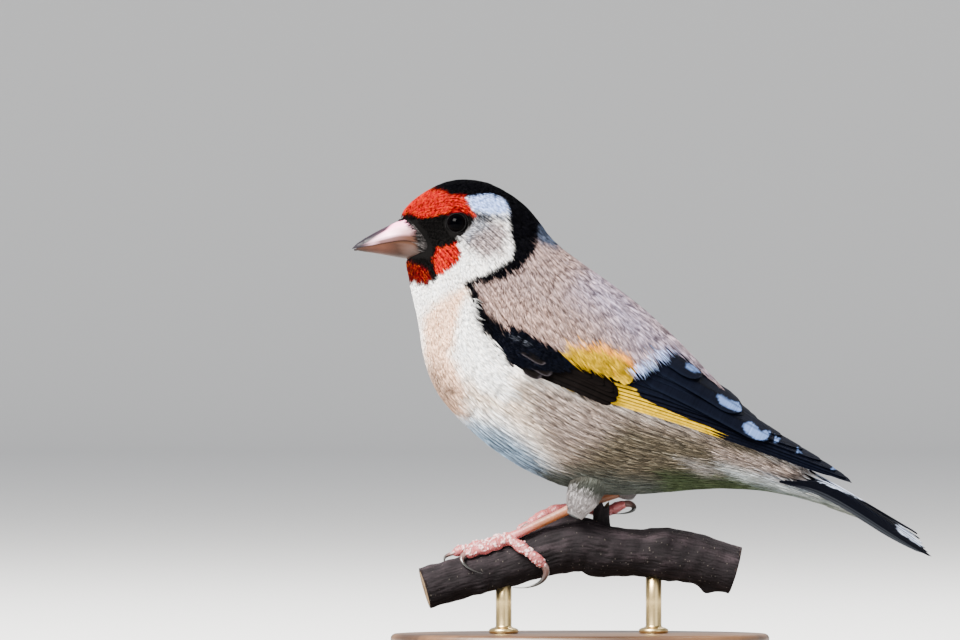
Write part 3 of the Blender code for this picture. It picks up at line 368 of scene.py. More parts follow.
def closed_rings(rings):
    """Points and triangles of a closed surface over rings of equal count."""
    count, around = rings.shape[:2]
    i, k = np.meshgrid(np.arange(count - 1), np.arange(around), indexing="ij")
    a, b = i * around + k, i * around + (k + 1) % around
    c, d = b + around, a + around
    faces = np.concatenate([np.stack([a, b, c], -1), np.stack([a, c, d], -1)]).reshape(-1, 3)
    k = np.arange(around)
    first, last = count * around, count * around + 1
    start = np.stack([np.full(around, first), (k + 1) % around, k], -1)
    end = (count - 1) * around
    stop = np.stack([np.full(around, last), end + k, end + (k + 1) % around], -1)
    points = np.concatenate([rings.reshape(-1, 3), [rings[0].mean(0), rings[-1].mean(0)]])
    return points, np.concatenate([faces, start, stop])


def read_values(items, key, width, kind=float):
    """A value or vector of every item of a mesh, as an array."""
    values = np.empty(len(items) * width, kind)
    items.foreach_get(key, values)
    return values.reshape(-1, width) if width > 1 else values


def add_paint(mesh, colours):
    """A colour for each point, which the finishes read."""
    layer = mesh.color_attributes.get("plumage")
    layer = layer or mesh.color_attributes.new("plumage", "FLOAT_COLOR", "POINT")
    rgba = np.concatenate([colours, np.ones((len(colours), 1))], 1)
    layer.data.foreach_set("color", rgba.astype(np.float32).ravel())


def add_map(mesh, name, places):
    """A map over a mesh, from a place for each point."""
    layer = mesh.uv_layers.new(name=name)
    corners = read_values(mesh.loops, "vertex_index", 1, np.int32)
    layer.data.foreach_set("uv", places[corners].astype(np.float32).ravel())


def new_object(name, data):
    made = bpy.data.objects.new(name, data)
    bpy.context.scene.collection.objects.link(made)
    return made


def applied_mesh(made):
    """A new mesh of an object with its modifiers applied."""
    bpy.context.view_layer.update()
    graph = bpy.context.evaluated_depsgraph_get()
    return bpy.data.meshes.new_from_object(made.evaluated_get(graph))


def mesh_piece(name, points, faces, finish, colours=None, patch=None):
    """A smooth mesh object from points in millimetres, with colours and a bake map if given."""
    points, faces = np.asarray(points, float), np.asarray(faces)
    a, b, c = (points[faces[:, i]] for i in range(3))
    if np.einsum("ij,ij->", a, np.cross(b, c)) < 0:
        faces = faces[:, ::-1]
    mesh = bpy.data.meshes.new(name)
    mesh.vertices.add(len(points))
    mesh.vertices.foreach_set("co", (points * MM).astype(np.float32).ravel())
    mesh.loops.add(faces.size)
    mesh.loops.foreach_set("vertex_index", faces.astype(np.int32).ravel())
    mesh.polygons.add(len(faces))
    starts = np.arange(len(faces), dtype=np.int32) * faces.shape[1]
    mesh.polygons.foreach_set("loop_start", starts)
    mesh.update(calc_edges=True)
    mesh.shade_smooth()
    if colours is not None:
        add_paint(mesh, colours)
    if patch is not None:
        add_map(mesh, "OFBake", patch)
    mesh.materials.append(finish)
    return new_object(name, mesh)


def new_material(name, colour, roughness, values=None):
    """A node material with its Principled shader, ready for more nodes."""
    made = bpy.data.materials.new(name)
    made.use_nodes = True
    shader = made.node_tree.nodes["Principled BSDF"]
    values = {"Base Color": (*colour, 1), "Roughness": roughness, **(values or {})}
    for key, value in values.items():
        shader.inputs[key].default_value = value
    return made, made.node_tree, shader


def add_node(tree, kind, values=None, **settings):
    """A node with its settings, and with the values of its inputs by name or number."""
    node = tree.nodes.new(kind)
    for key, value in settings.items():
        setattr(node, key, value)
    for key, value in (values or {}).items():
        node.inputs[key].default_value = value
    return node


def wire(tree, *links):
    """Links, each as its source node and output and then its target node and input."""
    for source, out, target, into in links:
        tree.links.new(source.outputs[out], target.inputs[into])


def new_group(name, kind, inputs, output):
    """A node group with inputs, as name, kind and value, one output, and its end nodes."""
    tree = bpy.data.node_groups.new(name, kind)
    for label, socket_kind, start in inputs:
        socket = tree.interface.new_socket(
            label, in_out="INPUT", socket_type="NodeSocket" + socket_kind
        )
        if start is not None:
            socket.default_value = start
    label, socket_kind = output
    tree.interface.new_socket(label, in_out="OUTPUT", socket_type="NodeSocket" + socket_kind)
    return tree, add_node(tree, "NodeGroupInput"), add_node(tree, "NodeGroupOutput")


def make_speckle_group():
    """Speckle: a colour made lighter and darker by two sizes of noise."""
    tree, given, out = new_group(
        "speckle", "ShaderNodeTree",
        (("Color", "Color", (1, 1, 1, 1)), ("Amount", "Float", 0.2), ("Fine", "Float", 3000.0),
         ("Coarse", "Float", 300.0)),
        ("Color", "Color"),
    )
    place = add_node(tree, "ShaderNodeTexCoord")
    fine, coarse = add_node(tree, "ShaderNodeTexNoise"), add_node(tree, "ShaderNodeTexNoise")
    both = add_node(tree, "ShaderNodeMath", operation="ADD")
    centre = add_node(tree, "ShaderNodeMath", {1: 1.0}, operation="SUBTRACT")
    strength = add_node(tree, "ShaderNodeMath", {2: 1.0}, operation="MULTIPLY_ADD")
    tint = add_node(tree, "ShaderNodeVectorMath", operation="SCALE")
    wire(
        tree,
        (place, "Object", fine, "Vector"), (place, "Object", coarse, "Vector"),
        (given, "Fine", fine, "Scale"), (given, "Coarse", coarse, "Scale"),
        (fine, "Fac", both, 0), (coarse, "Fac", both, 1),
        (both, 0, centre, 0), (centre, 0, strength, 0), (given, "Amount", strength, 1),
        (given, "Color", tint, 0), (strength, 0, tint, "Scale"), (tint, 0, out, "Color"),
    )
    return tree


speckle = make_speckle_group()


def make_finish(name, colour, roughness, grain, values=None, painted=True):
    """A speckled finish in the piece's own paint or the grain's colour, and its nodes."""
    made, tree, shader = new_material(name, colour, roughness, values)
    speck = add_node(tree, "ShaderNodeGroup", grain, node_tree=speckle)
    if painted:
        paint = add_node(tree, "ShaderNodeAttribute", attribute_name="plumage")
        wire(tree, (paint, "Color", speck, "Color"))
    wire(tree, (speck, "Color", shader, "Base Color"))
    return made, tree, shader, speck


def painted_material(name, roughness, amount, gloss=0.03):
    """Soft plumage in the piece's own paint, with a little speckle."""
    shine = {"Specular IOR Level": gloss}
    return make_finish(name, WHITE, roughness, {"Amount": amount}, shine)[0]


down = painted_material("down_over_skin", 0.9, 0.25)
feather = painted_material("soft_feather", 0.7, 0.05, 0.02)


def thigh_rings(side, inset, steps, around):
    """Rings of a feathered thigh, with the direction down the leg and the turns round it."""
    top, end = np.array(THIGH_TOPS[side]), np.array(THIGH_ENDS[side])
    down_leg = unit(end - top)
    first = unit(np.cross(down_leg, (0, 1.0, 0)))
    second = np.cross(down_leg, first)
    t = np.linspace(0, 1, steps)
    radius = np.interp(t, np.linspace(0, 1, len(THIGH_RADII)), THIGH_RADII) - inset
    spokes = spokes_at(full_turn(around), first, second)
    return top + (end - top) * t[:, None, None] + radius[:, None, None] * spokes


SKIN_STEPS, SKIN_AROUND = 150, 110
UNDER_WING_DEPTH = 2.4  # how much deeper the skin lies under the closed wing
THIGH_INSET = 0.7
skin_u, skin_v = np.meshgrid(
    np.linspace(0, SKIN_END, SKIN_STEPS), full_turn(SKIN_AROUND), indexing="ij"
)
skin_depth = FACE_DEPTH + (SKIN_DEPTH - FACE_DEPTH) * ease(4.5, 9, skin_u)
flat = line_point(BODY_LINES, skin_u, skin_v)
covered = ease(-1.6, 0.4, depth_in(OPEN_WING, flat[..., 0], flat[..., 2]))
skin_depth = skin_depth + UNDER_WING_DEPTH * covered
skin_points, _ = body_surface(skin_u, skin_v, -skin_depth)
skin = mesh_piece("skin", *closed_rings(skin_points), down)
for side in (LEFT, RIGHT):
    thigh = mesh_piece("thigh", *closed_rings(thigh_rings(side, THIGH_INSET, 20, 28)), down)
    join = skin.modifiers.new("join", "BOOLEAN")
    join.operation = "UNION"
    join.solver = "EXACT"
    join.object = thigh
    joined = applied_mesh(skin)
    skin.modifiers.clear()
    skin.data = joined
    bpy.data.objects.remove(thigh)
skin.data.name = "skin"
skin.data.materials.clear()
skin.data.materials.append(down)
skin_x, skin_y, skin_z = (read_values(skin.data.vertices, "co", 3) / MM).T
skin_paint, _ = plumage_colour(skin_x, skin_z, np.zeros(len(skin_x)))
# painted shade: the skin is black under the closed wing and a little darker than the plumage
skin_paint = mix(skin_paint, BLACK, ease(-0.4, 0.2, depth_in(OPEN_WING, skin_x, skin_z)))
add_paint(skin.data, skin_paint * 0.8)
around_u, around_v = line_at(BODY_LINES, skin_x, skin_z)
around_v = np.where(skin_y > 0, 2 * math.pi - around_v, around_v)
unwrap = np.stack([around_u / (len(BODY_LINES) - 1), around_v / (2 * math.pi)], -1)
add_map(skin.data, "OFBake", unwrap)
skin.data.shade_smooth()
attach(skin, "root")
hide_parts("head", "neck", "torso", "thigh_left", "thigh_right")

# The contour feathers: each is a small vane whose barbs part towards its round tip. They lie
# backwards over the skin like tiles, tiny on the face, short on the head, long and loose on the
# flanks, with their roots sunk under the tips of the feathers in front.
EYE_AT = (-23.5, 84.0)  # x and z, seen from the side
BILL_AT = (-31.5, 80.5)
# By the distance from the bill: feather spacing, length, barbs to a feather, width of a barb
FEATHER_SIZES = (
    (0, 0.42, 1.0, 8, 0.12),
    (7, 0.50, 1.3, 10, 0.12),
    (13, 0.66, 2.0, 14, 0.13),
    (22, 0.95, 3.1, 20, 0.14),
    (34, 1.55, 4.9, 35, 0.16),
    (60, 2.00, 6.5, 50, 0.175),
    (100, 2.05, 6.8, 50, 0.18),
)
# Side outline of the bill's root, which grows no feathers
BILL_ROOT = (
    (-44, 86), (-36.5, 85.6), (-34.2, 85.1), (-31.8, 84.9), (-30.4, 83.4), (-29.5, 81.1),
    (-29.0, 79.0), (-28.7, 77.4), (-33.4, 77.2), (-44, 77),
)
# Side outline of what shows of the tail, over which no feathers of the body lie
OPEN_TAIL = (
    (37.8, 36.3), (42.9, 35.3), (46.0, 36.5), (54.1, 31.6), (60.4, 27.2), (66.9, 20.0),
    (57.2, 25.4), (51.1, 28.6), (47.0, 30.9), (42.4, 33.1), (37.8, 35.2),
)
# Where the lie turns down more than the form does: x, z, reach and degrees
LIE_TURNS = (
    (-4, 68, 13, 24), (10, 62, 10, 16), (-13, 68, 6, 8), (-16, 60, 6, -12),
)
ROOT_TRIES = 260000  # places drawn, of which the evenly spaced ones become feathers
BARE_LIDS = 2.7  # round the eye, free of feather roots
EYE_CLEAR = 2.35  # round the eye, free of barbs
BACK_GAP = 4.5  # to either side of the middle, between the wings, where barbs may end
ROOT_CLEARANCE = 0.86  # least distance of two roots, as a share of their spacing
STREAKS = ((83, 0.9), (131, 1.7), (197, 0.6), (271, 2.3))  # turns round the body, and bend
BARBS_IN_A_PIECE = 19500


def scatter_roots(rng):
    """Feather roots over the whole body, as close as each place's feathers need."""
    u = rng.uniform(0, SKIN_END - 0.3, ROOT_TRIES)
    v = rng.uniform(0, 2 * math.pi, ROOT_TRIES)
    du, dv = line_slopes(BODY_LINES, u, v)
    area = np.linalg.norm(np.cross(du, dv), axis=-1)
    found = line_point(BODY_LINES, u, v)
    x, z = found[:, 0], found[:, 2]
    away = np.hypot(x - BILL_AT[0], z - BILL_AT[1])
    sizes = np.array(FEATHER_SIZES)
    spacing = np.interp(away, sizes[:, 0], sizes[:, 1])
    wanted = area / spacing**2
    keep = rng.uniform(0, np.quantile(wanted, 0.98), ROOT_TRIES) < wanted
    keep &= depth_in(BILL_ROOT, x, z) < 0
    keep &= np.hypot(x - EYE_AT[0], z - EYE_AT[1]) > BARE_LIDS
    keep &= (depth_in(OPEN_WING, x, z) < 2.0) | ((x > 6) & (np.abs(found[:, 1]) < 5))
    places = np.nonzero(keep)[0]
    tree = kdtree.KDTree(len(places))
    for i, place in enumerate(places):
        tree.insert(found[place], i)
    tree.balance()
    free = np.ones(len(places), bool)
    chosen = []
    for i, place in enumerate(places):
        if free[i]:
            chosen.append(place)
            for _, other, _ in tree.find_range(found[place], spacing[place] * ROOT_CLEARANCE):
                free[other] = False
    return u[chosen], v[chosen], away[chosen]


def build_barbs(
    paths, normals, widths, colours, roots, piece_names, finish, depth_tone=0.82
):
    """Closed three-sided barbs along short paths, as pieces of a coat."""
    count, steps = paths.shape[:2]
    along = unit(np.gradient(paths, axis=1))
    side = unit(np.cross(along, normals))
    width = widths[:, None] * np.array((0.75, 1.0, 0.7))[None, : steps - 1]
    ridge = normals[:, :-1] * (width * 0.33)[..., None]
    across = side[:, :-1] * (width / 2)[..., None]
    ring = np.stack(
        [paths[:, :-1] + across, paths[:, :-1] + ridge, paths[:, :-1] - across], 2
    ).reshape(count, -1, 3)
    points = np.concatenate([ring, paths[:, -1:]], 1)
    each = points.shape[1]
    faces = [(0, 1, 2)]
    for j in range(steps - 2):
        for k in range(3):
            a, b = 3 * j + k, 3 * j + (k + 1) % 3
            faces += [(a, a + 3, b + 3), (a, b + 3, b)]
    end = 3 * (steps - 2)
    faces += [(end + k, each - 1, end + (k + 1) % 3) for k in range(3)]
    faces = np.array(faces)
    share = np.repeat(np.linspace(0, 1, steps), [3] * (steps - 1) + [1])
    # painted shade: each barb is darker towards its root, where it lies sunk under the feathers in
    # front
    depth_tone = np.broadcast_to(depth_tone, count)[:, None]
    tone = depth_tone + (1.04 - depth_tone) * ease(0, 0.85, share)
    paint = colours[:, None, :] * tone[..., None]
    patch = np.stack([share, np.tile((0.0, 0.5, 1.0), steps)[:each]], -1) * 0.003
    patch = roots[:, None, :] * 0.994 + patch[None]
    parts = np.array_split(np.arange(count), len(piece_names))
    for name, part in zip(piece_names, parts):
        offsets = (np.arange(len(part)) * each)[:, None, None]
        piece = mesh_piece(
            name,
            points[part].reshape(-1, 3),
            (faces[None] + offsets).reshape(-1, 3),
            finish,
            np.clip(paint[part].reshape(-1, 3), 0, 1),
            patch[part].reshape(-1, 2),
        )
        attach(piece, "root")


def lay_feathers(u, v, away, rng):
    """Paths of the barbs of contour feathers, from their roots on the body."""
    sizes = np.array(FEATHER_SIZES)
    length, barbs, width = (np.interp(away, sizes[:, 0], sizes[:, k]) for k in (2, 3, 4))
    spacing = np.interp(away, sizes[:, 0], sizes[:, 1])
    found = line_point(BODY_LINES, u, v)
    x, z = found[:, 0], found[:, 2]
    # feathers of the belly, flanks and thigh side are longer and looser
    loose = ease(50, 42, z + 0.25 * x) * ease(-30, -10, x)
    length = length * (1 + 0.35 * loose) * rng.uniform(0.88, 1.12, len(u))
    du, dv = line_slopes(BODY_LINES, u, v)
    normal = unit(np.cross(dv, du))
    ahead = unit(du)
    down = unit(dv - ahead * np.einsum("ij,ij->i", dv, ahead)[:, None])
    side_sign = np.where(v < math.pi, 1.0, -1.0)
    turn = np.zeros(len(u))
    for turn_x, turn_z, reach, degrees in LIE_TURNS:
        turn += degrees * np.exp(-((x - turn_x) ** 2 + (z - turn_z) ** 2) / reach**2)
    turn = turn * np.minimum(1, np.abs(found[:, 1]) / 5) + rng.normal(0, 3, len(u))
    # the face's feathers part round the eye and close behind it
    ex, ez = x - EYE_AT[0], z - EYE_AT[1]
    gone = np.hypot(ex, ez)
    part = np.where(np.abs(found[:, 1]) > 2, 1, 0) * (2.9 / np.maximum(gone, 2.9)) ** 2
    turn += np.degrees(-part * np.sin(2 * np.arctan2(ez, -ex)) * 0.8)
    turn = np.radians(turn) * side_sign
    lie = ahead * np.cos(turn)[:, None] + down * np.sin(turn)[:, None]
    cross = np.cross(normal, lie)

    of = np.repeat(np.arange(len(u)), np.round(barbs).astype(int))
    total = len(of)
    first = np.searchsorted(of, np.arange(len(u)))
    place = (np.arange(total) - first[of]) / np.maximum(np.round(barbs)[of] - 1, 1) * 2 - 1
    place = place + rng.normal(0, 0.09, total)
    long = length[of]
    wide = np.maximum(spacing[of] * 0.95, long * 0.24)
    start_a = long * rng.uniform(-0.1, 0.35, total)
    end_a = long * (1 - 0.2 * np.minimum(np.abs(place), 1.2) ** 2)
    end_a = end_a + long * rng.normal(0, 0.13, total)
    start_b = wide * place * 0.8
    end_b = wide * place + wide * rng.normal(0, 0.12 + 0.12 * loose[of], total)
    # a move over the surface, in millimetres, becomes a move in u and v
    dots = "ij,ij->i"
    g11, g12, g22 = (np.einsum(dots, p, q)[of] for p, q in ((du, du), (du, dv), (dv, dv)))
    det = g11 * g22 - g12**2
    paths = []
    for share in (0, 0.5, 1):
        a = start_a + (end_a - start_a) * share
        b = start_b + (end_b - start_b) * share**1.2
        move = lie[of] * a[:, None] + cross[of] * b[:, None]
        r1, r2 = np.einsum(dots, move, du[of]), np.einsum(dots, move, dv[of])
        move_u = (r1 * g22 - r2 * g12) / det
        move_v = (r2 * g11 - r1 * g12) / det
        paths.append((u[of] + move_u, v[of] + move_v))
    depth = np.minimum(0.7, 0.2 + 0.1 * long)
    top = rng.normal(0, 0.035 + 0.05 * loose[of], total)
    lift = np.stack([-depth, -0.12 * depth + top, top], 1)
    at_u, at_v = (np.stack([path[k] for path in paths], 1) for k in (0, 1))
    points, normals = body_surface(np.clip(at_u, 0, len(BODY_LINES) - 1.001), at_v, lift)
    # nothing of the coat covers the eye
    off_x, off_z = points[..., 0] - EYE_AT[0], points[..., 2] - EYE_AT[1]
    keep = (np.hypot(off_x, off_z) > EYE_CLEAR).all(1)
    keep &= (depth_in(BILL_ROOT, points[:, 2, 0], points[:, 2, 2]) < 0.5)
    # over the wing they end near the edge of what shows of it, longest over its bend
    tip_x, tip_z = points[:, 2, 0], points[:, 2, 2]
    over = depth_in(OPEN_WING, tip_x, tip_z)
    front = ease(-12, -16, tip_x)
    reach = np.minimum(np.abs(rng.normal(0, 0.45 + 1.1 * front, total)), 0.9 + 3 * front)
    between_wings = (tip_x > 6) & (np.abs(points[:, 2, 1]) < BACK_GAP)
    keep &= (over < reach) | between_wings
    keep &= depth_in(OPEN_TAIL, tip_x, tip_z) < reach * 0.8
    seen_x, seen_z = points[:, 1, ::2].T * 0.3 + points[:, 2, ::2].T * 0.7
    ragged = rng.normal(0, 0.5, len(u))[of] + rng.normal(0, 0.35, total)
    colour, shade = plumage_colour(seen_x, seen_z, ragged * 0.5)
    # long streaks down the lie, as the barbs of one line of feathers fall together
    streak = np.zeros(total)
    for turns, bend in STREAKS:
        streak += np.sin(turns * at_v[:, 1] + 2.5 * np.sin(bend * at_u[:, 1] + turns)) / 2
    tone = 1 + shade * (rng.normal(0, 0.12, len(u))[of] + rng.normal(0, 0.4, total) + 1.7 * streak)
    tone = np.clip(tone, 0.35, 1.9)
    warmth = rng.normal(0, 0.03, total)[:, None] * np.array((1, 0, -1))
    colour = colour * tone[:, None] * (1 + warmth)
    # the red feathers have brighter orange tips among darker crimson ones
    red = (colour[:, 0] > 3.5 * colour[:, 1]) & (colour[:, 0] > 0.04)
    bright = np.clip(rng.normal(-0.1, 0.5, total), 0, 1)[:, None] * np.array((0.30, 0.045, 0.0))
    colour = np.where(red[:, None], colour + bright, colour)
    # darker roots: for the red feathers mostly their own crimson bases, for the others painted shade
    # under the feathers in front
    depth_tone = np.where(red, 0.4, 0.86)
    roots = np.stack([u[of] / (len(BODY_LINES) - 1), v[of] / (2 * math.pi)], -1)
    found = (points, unit(normals), width[of], colour, roots, away[of], depth_tone)
    return [values[keep] for values in found]


coat_rng = np.random.default_rng(71)
root_u, root_v, root_away = scatter_roots(coat_rng)
paths, normals, widths, colours, roots, away, depth_tones = lay_feathers(
    root_u, root_v, root_away, coat_rng
)
order = np.argsort(away, kind="stable")
pieces = max(1, math.ceil(len(order) / BARBS_IN_A_PIECE))
build_barbs(
    paths[order], normals[order], widths[order], colours[order], roots[order],
    [f"coat_{i + 1}" for i in range(pieces)], feather, depth_tones[order],
)

# The thighs' short plumes: fine pale streaks that run down each leg to the bare heel.
THIGH_COLOUR = (0.34, 0.32, 0.325)
THIGH_PLUMES, PLUME_WIDTH = 4600, 0.20  # on each thigh
for side, word in SIDES:
    rng = np.random.default_rng(90 + side)
    count = THIGH_PLUMES
    down_at = rng.uniform(0.05, 0.93, count)
    turn = rng.uniform(0, 2 * math.pi, count)
    length = 3.4 * (1.15 - 0.5 * down_at)
    top, end = np.array(THIGH_TOPS[side]), np.array(THIGH_ENDS[side])
    leg_length = np.linalg.norm(end - top)
    ahead = unit(end - top)
    first = unit(np.cross(ahead, (0, 1.0, 0)))
    second = np.cross(ahead, first)
    paths, normals = [], []
    for share, lift in ((0.0, -0.6), (0.5, -0.1), (1.0, 0.08)):
        t = down_at + length * share / leg_length
        t = np.where(t > 0.84, 0.84 + 0.16 * np.tanh((t - 0.84) / 0.16), t)
        a = turn + rng.normal(0, 0.05, count) * share
        radius = np.interp(np.minimum(t, 0.86), np.linspace(0, 1, len(THIGH_RADII)), THIGH_RADII)
        radius = radius * np.sqrt(np.clip(1 - (np.maximum(t - 0.62, 0) / 0.46) ** 2, 0.08, 1))
        radius = radius + lift + rng.normal(0, 0.05, count) * share
        spoke = spokes_at(a, first, second)
        paths.append(top + (end - top) * t[:, None] + spoke * radius[:, None])
        normals.append(spoke)
    tone = 1 + rng.normal(0, 0.13, count)
    around = np.stack(paths, 1)[:, 1]
    above, _ = plumage_colour(around[:, 0], around[:, 2], np.zeros(count))
    above = mix(above, THIGH_COLOUR, ease(0.22, 0.55, down_at))
    colours = above * np.clip(tone, 0.4, 1.6)[:, None]
    bake = np.stack([down_at, turn / (2 * math.pi)], -1)
    build_barbs(
        np.stack(paths, 1), np.stack(normals, 1), np.full(count, PLUME_WIDTH), colours, bake,
        [f"thigh_plumes_{word}"], feather,
    )

# The closed wings: flight feathers and coverts as single stiff vanes, each with its shaft, the
# outer edge of one lying over the inner web of the one below it, all rooted under the coverts.
VANE_THICKNESS = 0.12
COVERT_BARB, LOCK_BARB = 0.23, 0.085  # widths
GLOSS_BLACK = (0.0016, 0.0021, 0.0047)
BROWN_BLACK = (0.0017, 0.0012, 0.0011)
# painted shade: the white tips of the wing feathers are painted dark blue-grey
SPOT_WHITE_IN_SHADE = (0.075, 0.120, 0.25)
BRIGHT_YELLOW = (0.35, 0.215, 0.0)
ALULA_EDGE = (0.022, 0.019, 0.022)
EDGE_SHEEN = (0.0024, 0.0035, 0.0075)
YELLOW_END = 27.2  # x at which the yellow of the outer webs begins to stop
LONG_STEPS, COVERT_STEPS = 150, 30  # rows of a long vane and of a covert
# White tips, side outlines in millimetres
WING_SPOTS = (
    ((19.9, 57.5), (20.6, 57.3), (21.5, 56.9), (22.3, 56.2), (22.8, 55.5), (21.8, 55.7),
     (20.7, 56.1), (20.1, 56.6)),
    ((25.8, 51.6), (26.9, 51.4), (28.0, 50.6), (29.1, 50.2), (30.1, 50.0), (30.6, 48.9),
     (30.6, 48.1), (29.8, 48.2), (28.5, 48.6), (27.4, 49.2), (26.4, 49.7), (26.1, 50.5)),
    ((30.5, 45.7), (31.3, 46.3), (32.5, 46.2), (33.6, 45.3), (34.2, 44.5), (35.2, 44.7),
     (36.0, 44.5), (36.2, 43.9), (35.5, 43.2), (35.6, 42.8), (34.7, 42.6), (33.2, 42.9),
     (32.0, 43.7), (31.0, 44.7)),
    ((36.9, 44.0), (37.3, 43.2), (37.9, 43.1), (37.5, 42.5), (37.0, 42.0), (36.7, 42.4),
     (37.0, 43.1)),
    ((41.2, 41.5), (41.6, 40.9), (42.2, 40.2), (41.5, 40.4), (40.8, 40.2), (41.2, 40.8)),
    ((48.0, 37.9), (48.6, 37.4), (48.6, 37.1), (47.8, 37.1), (47.2, 37.2), (47.9, 37.5)),
    ((51.3, 35.5), (51.8, 35.3), (51.7, 35.0), (51.3, 35.1)),
)
# Side outline of the yellow bar
YELLOW_BAR = (
    (-6.0, 58.0), (5.0, 55.8), (9.4, 54.6), (9.8, 53.8), (11.3, 50.9), (17.1, 48.2),
    (21.5, 46.4), (25.9, 44.8), (29.0, 43.2), (27.2, 42.4), (17.0, 44.5), (7.1, 47.5),
    (-6.0, 51.0),
)
# Rows from the wing's lower edge up: how many, shaft roots and tips (x, z), the width of the
# outer and the inner web, height over the wing's surface of the first and the last, how deep the
# root is sunk, the length of the rounded tip, and the colour
WING_ROWS = {
    "primary": (
        7,
        ((-4.0, 52.9), (-4.0, 56.5)),
        ((48.0, 36.4), (52.0, 35.3), (51.0, 36.2), (49.0, 37.6), (46.2, 39.5), (42.6, 41.6),
         (38.6, 44.1)),
        (0.50, 2.3), (-1.05, -0.45), 0.5, 5.5, "striped",
    ),
    "secondary": (
        5,
        ((2.5, 56.4), (8.0, 59.2)),
        ((36.2, 43.3), (35.2, 44.3), (34.0, 45.4), (32.6, 46.6), (31.0, 47.8)),
        (0.85, 2.4), (-0.35, 0.0), 0.6, 2.6, "gloss",
    ),
    "tertial": (
        3,
        ((9.4, 57.3), (12.6, 59.4), (15.3, 60.5)),
        ((35.8, 43.6), (30.6, 48.5), (22.8, 54.8)),
        (2.3, 2.0), (0.15, 0.55), 0.9, 4.2, "gloss",
    ),
    "primary_covert": (
        6,
        ((-13.6, 57.6), (-10.5, 61.2)),
        ((5.8, 49.6), (6.9, 50.2), (7.2, 51.2), (6.4, 52.2), (4.6, 53.4), (2.2, 54.8)),
        (0.75, 1.9), (-0.35, 0.1), 0.4, 2.2, "brown",
    ),
    "alula": (
        3,
        ((-16.6, 60.2), (-15.2, 62.6)),
        ((-7.4, 54.7), (-5.4, 55.3), (-6.4, 57.4)),
        (1.1, 1.5), (0.2, 0.5), 0.5, 2.2, "alula",
    ),
    "yellow_covert": (
        8,
        ((-5.0, 60.6), (7.5, 61.0)),
        ((1.4, 57.0), (4.0, 55.8), (6.6, 54.5), (8.9, 53.2), (9.3, 54.2)),
        (0.9, 1.6), (-0.05, 0.3), 0.5, 2.4, "yellow",
    ),
    "black_covert": (
        6,
        ((-14.5, 64.4), (-5.5, 66.5)),
        ((-6.0, 57.8), (-2.0, 56.6), (0.4, 57.6)),
        (1.3, 1.8), (0.25, 0.45), 0.6, 2.6, "gloss",
    ),
}
ACROSS = np.array(
    (-1, -0.95, -0.85, -0.7, -0.55, -0.4, -0.16, -0.05, 0.05, 0.16, 0.3, 0.44, 0.58, 0.72, 0.86, 1)
)


def on_wing(x, z, height):
    """Points at a height over the left wing's surface, by their place seen from the side."""
    u, v = line_at(WING_LINES, x, z)
    du, dv = line_slopes(WING_LINES, u, v)
    normal = unit(np.cross(dv, du))
    return line_point(WING_LINES, u, v) + normal * np.asarray(height)[..., None], normal


def vane_colour(kind, t, s, x, z, rng):
    """Colours over one wing feather; s runs from the outer edge, -1, over the shaft to 1."""
    grain = 1 + 0.12 * rng.normal(0, 1, t.shape[0])[:, None]
    colour = np.zeros(t.shape + (3,)) + (BROWN_BLACK if kind in ("brown", "alula") else GLOSS_BLACK)
    if kind == "brown":
        colour = colour * (1 + 0.9 * ease(-0.8, -1.0, s))[..., None]
    if kind == "alula":
        colour = mix(colour, ALULA_EDGE, np.maximum(ease(-0.75, -0.98, s), ease(0.93, 1.0, t)))
    if kind == "yellow":
        colour = mix(np.array(PEACH) * 0.8, BRIGHT_YELLOW, ease(0.35, 0.75, t + 0.1 * s))
        colour = colour * (1 - 0.75 * ease(0.12, 0.0, np.abs(s)) * ease(0.5, 0.9, t))[..., None]
    if kind == "striped":
        end = YELLOW_END + 1.6 * rng.uniform(0, 1)
        narrow = 1.05 * (1 - ease(end - 5, end, x))
        web = ((s + 1) < narrow) & (x < end) & (depth_in(YELLOW_BAR, x, z) > 0)
        colour = np.where(web[..., None], np.array(BRIGHT_YELLOW), colour)
    if kind == "gloss":
        # painted sheen: the outer edges of the glossy feathers are painted a lighter blue
        colour = mix(colour, EDGE_SHEEN, ease(-0.7, -1.0, s))
    ragged = rng.normal(0, 0.05, t.shape[0])[:, None]
    if kind in ("gloss", "striped"):
        for spot in WING_SPOTS:
            colour = mix(colour, SPOT_WHITE_IN_SHADE, ease(-0.1, 0.25, depth_in(spot, x, z) + ragged))
    return colour * grain[..., None]


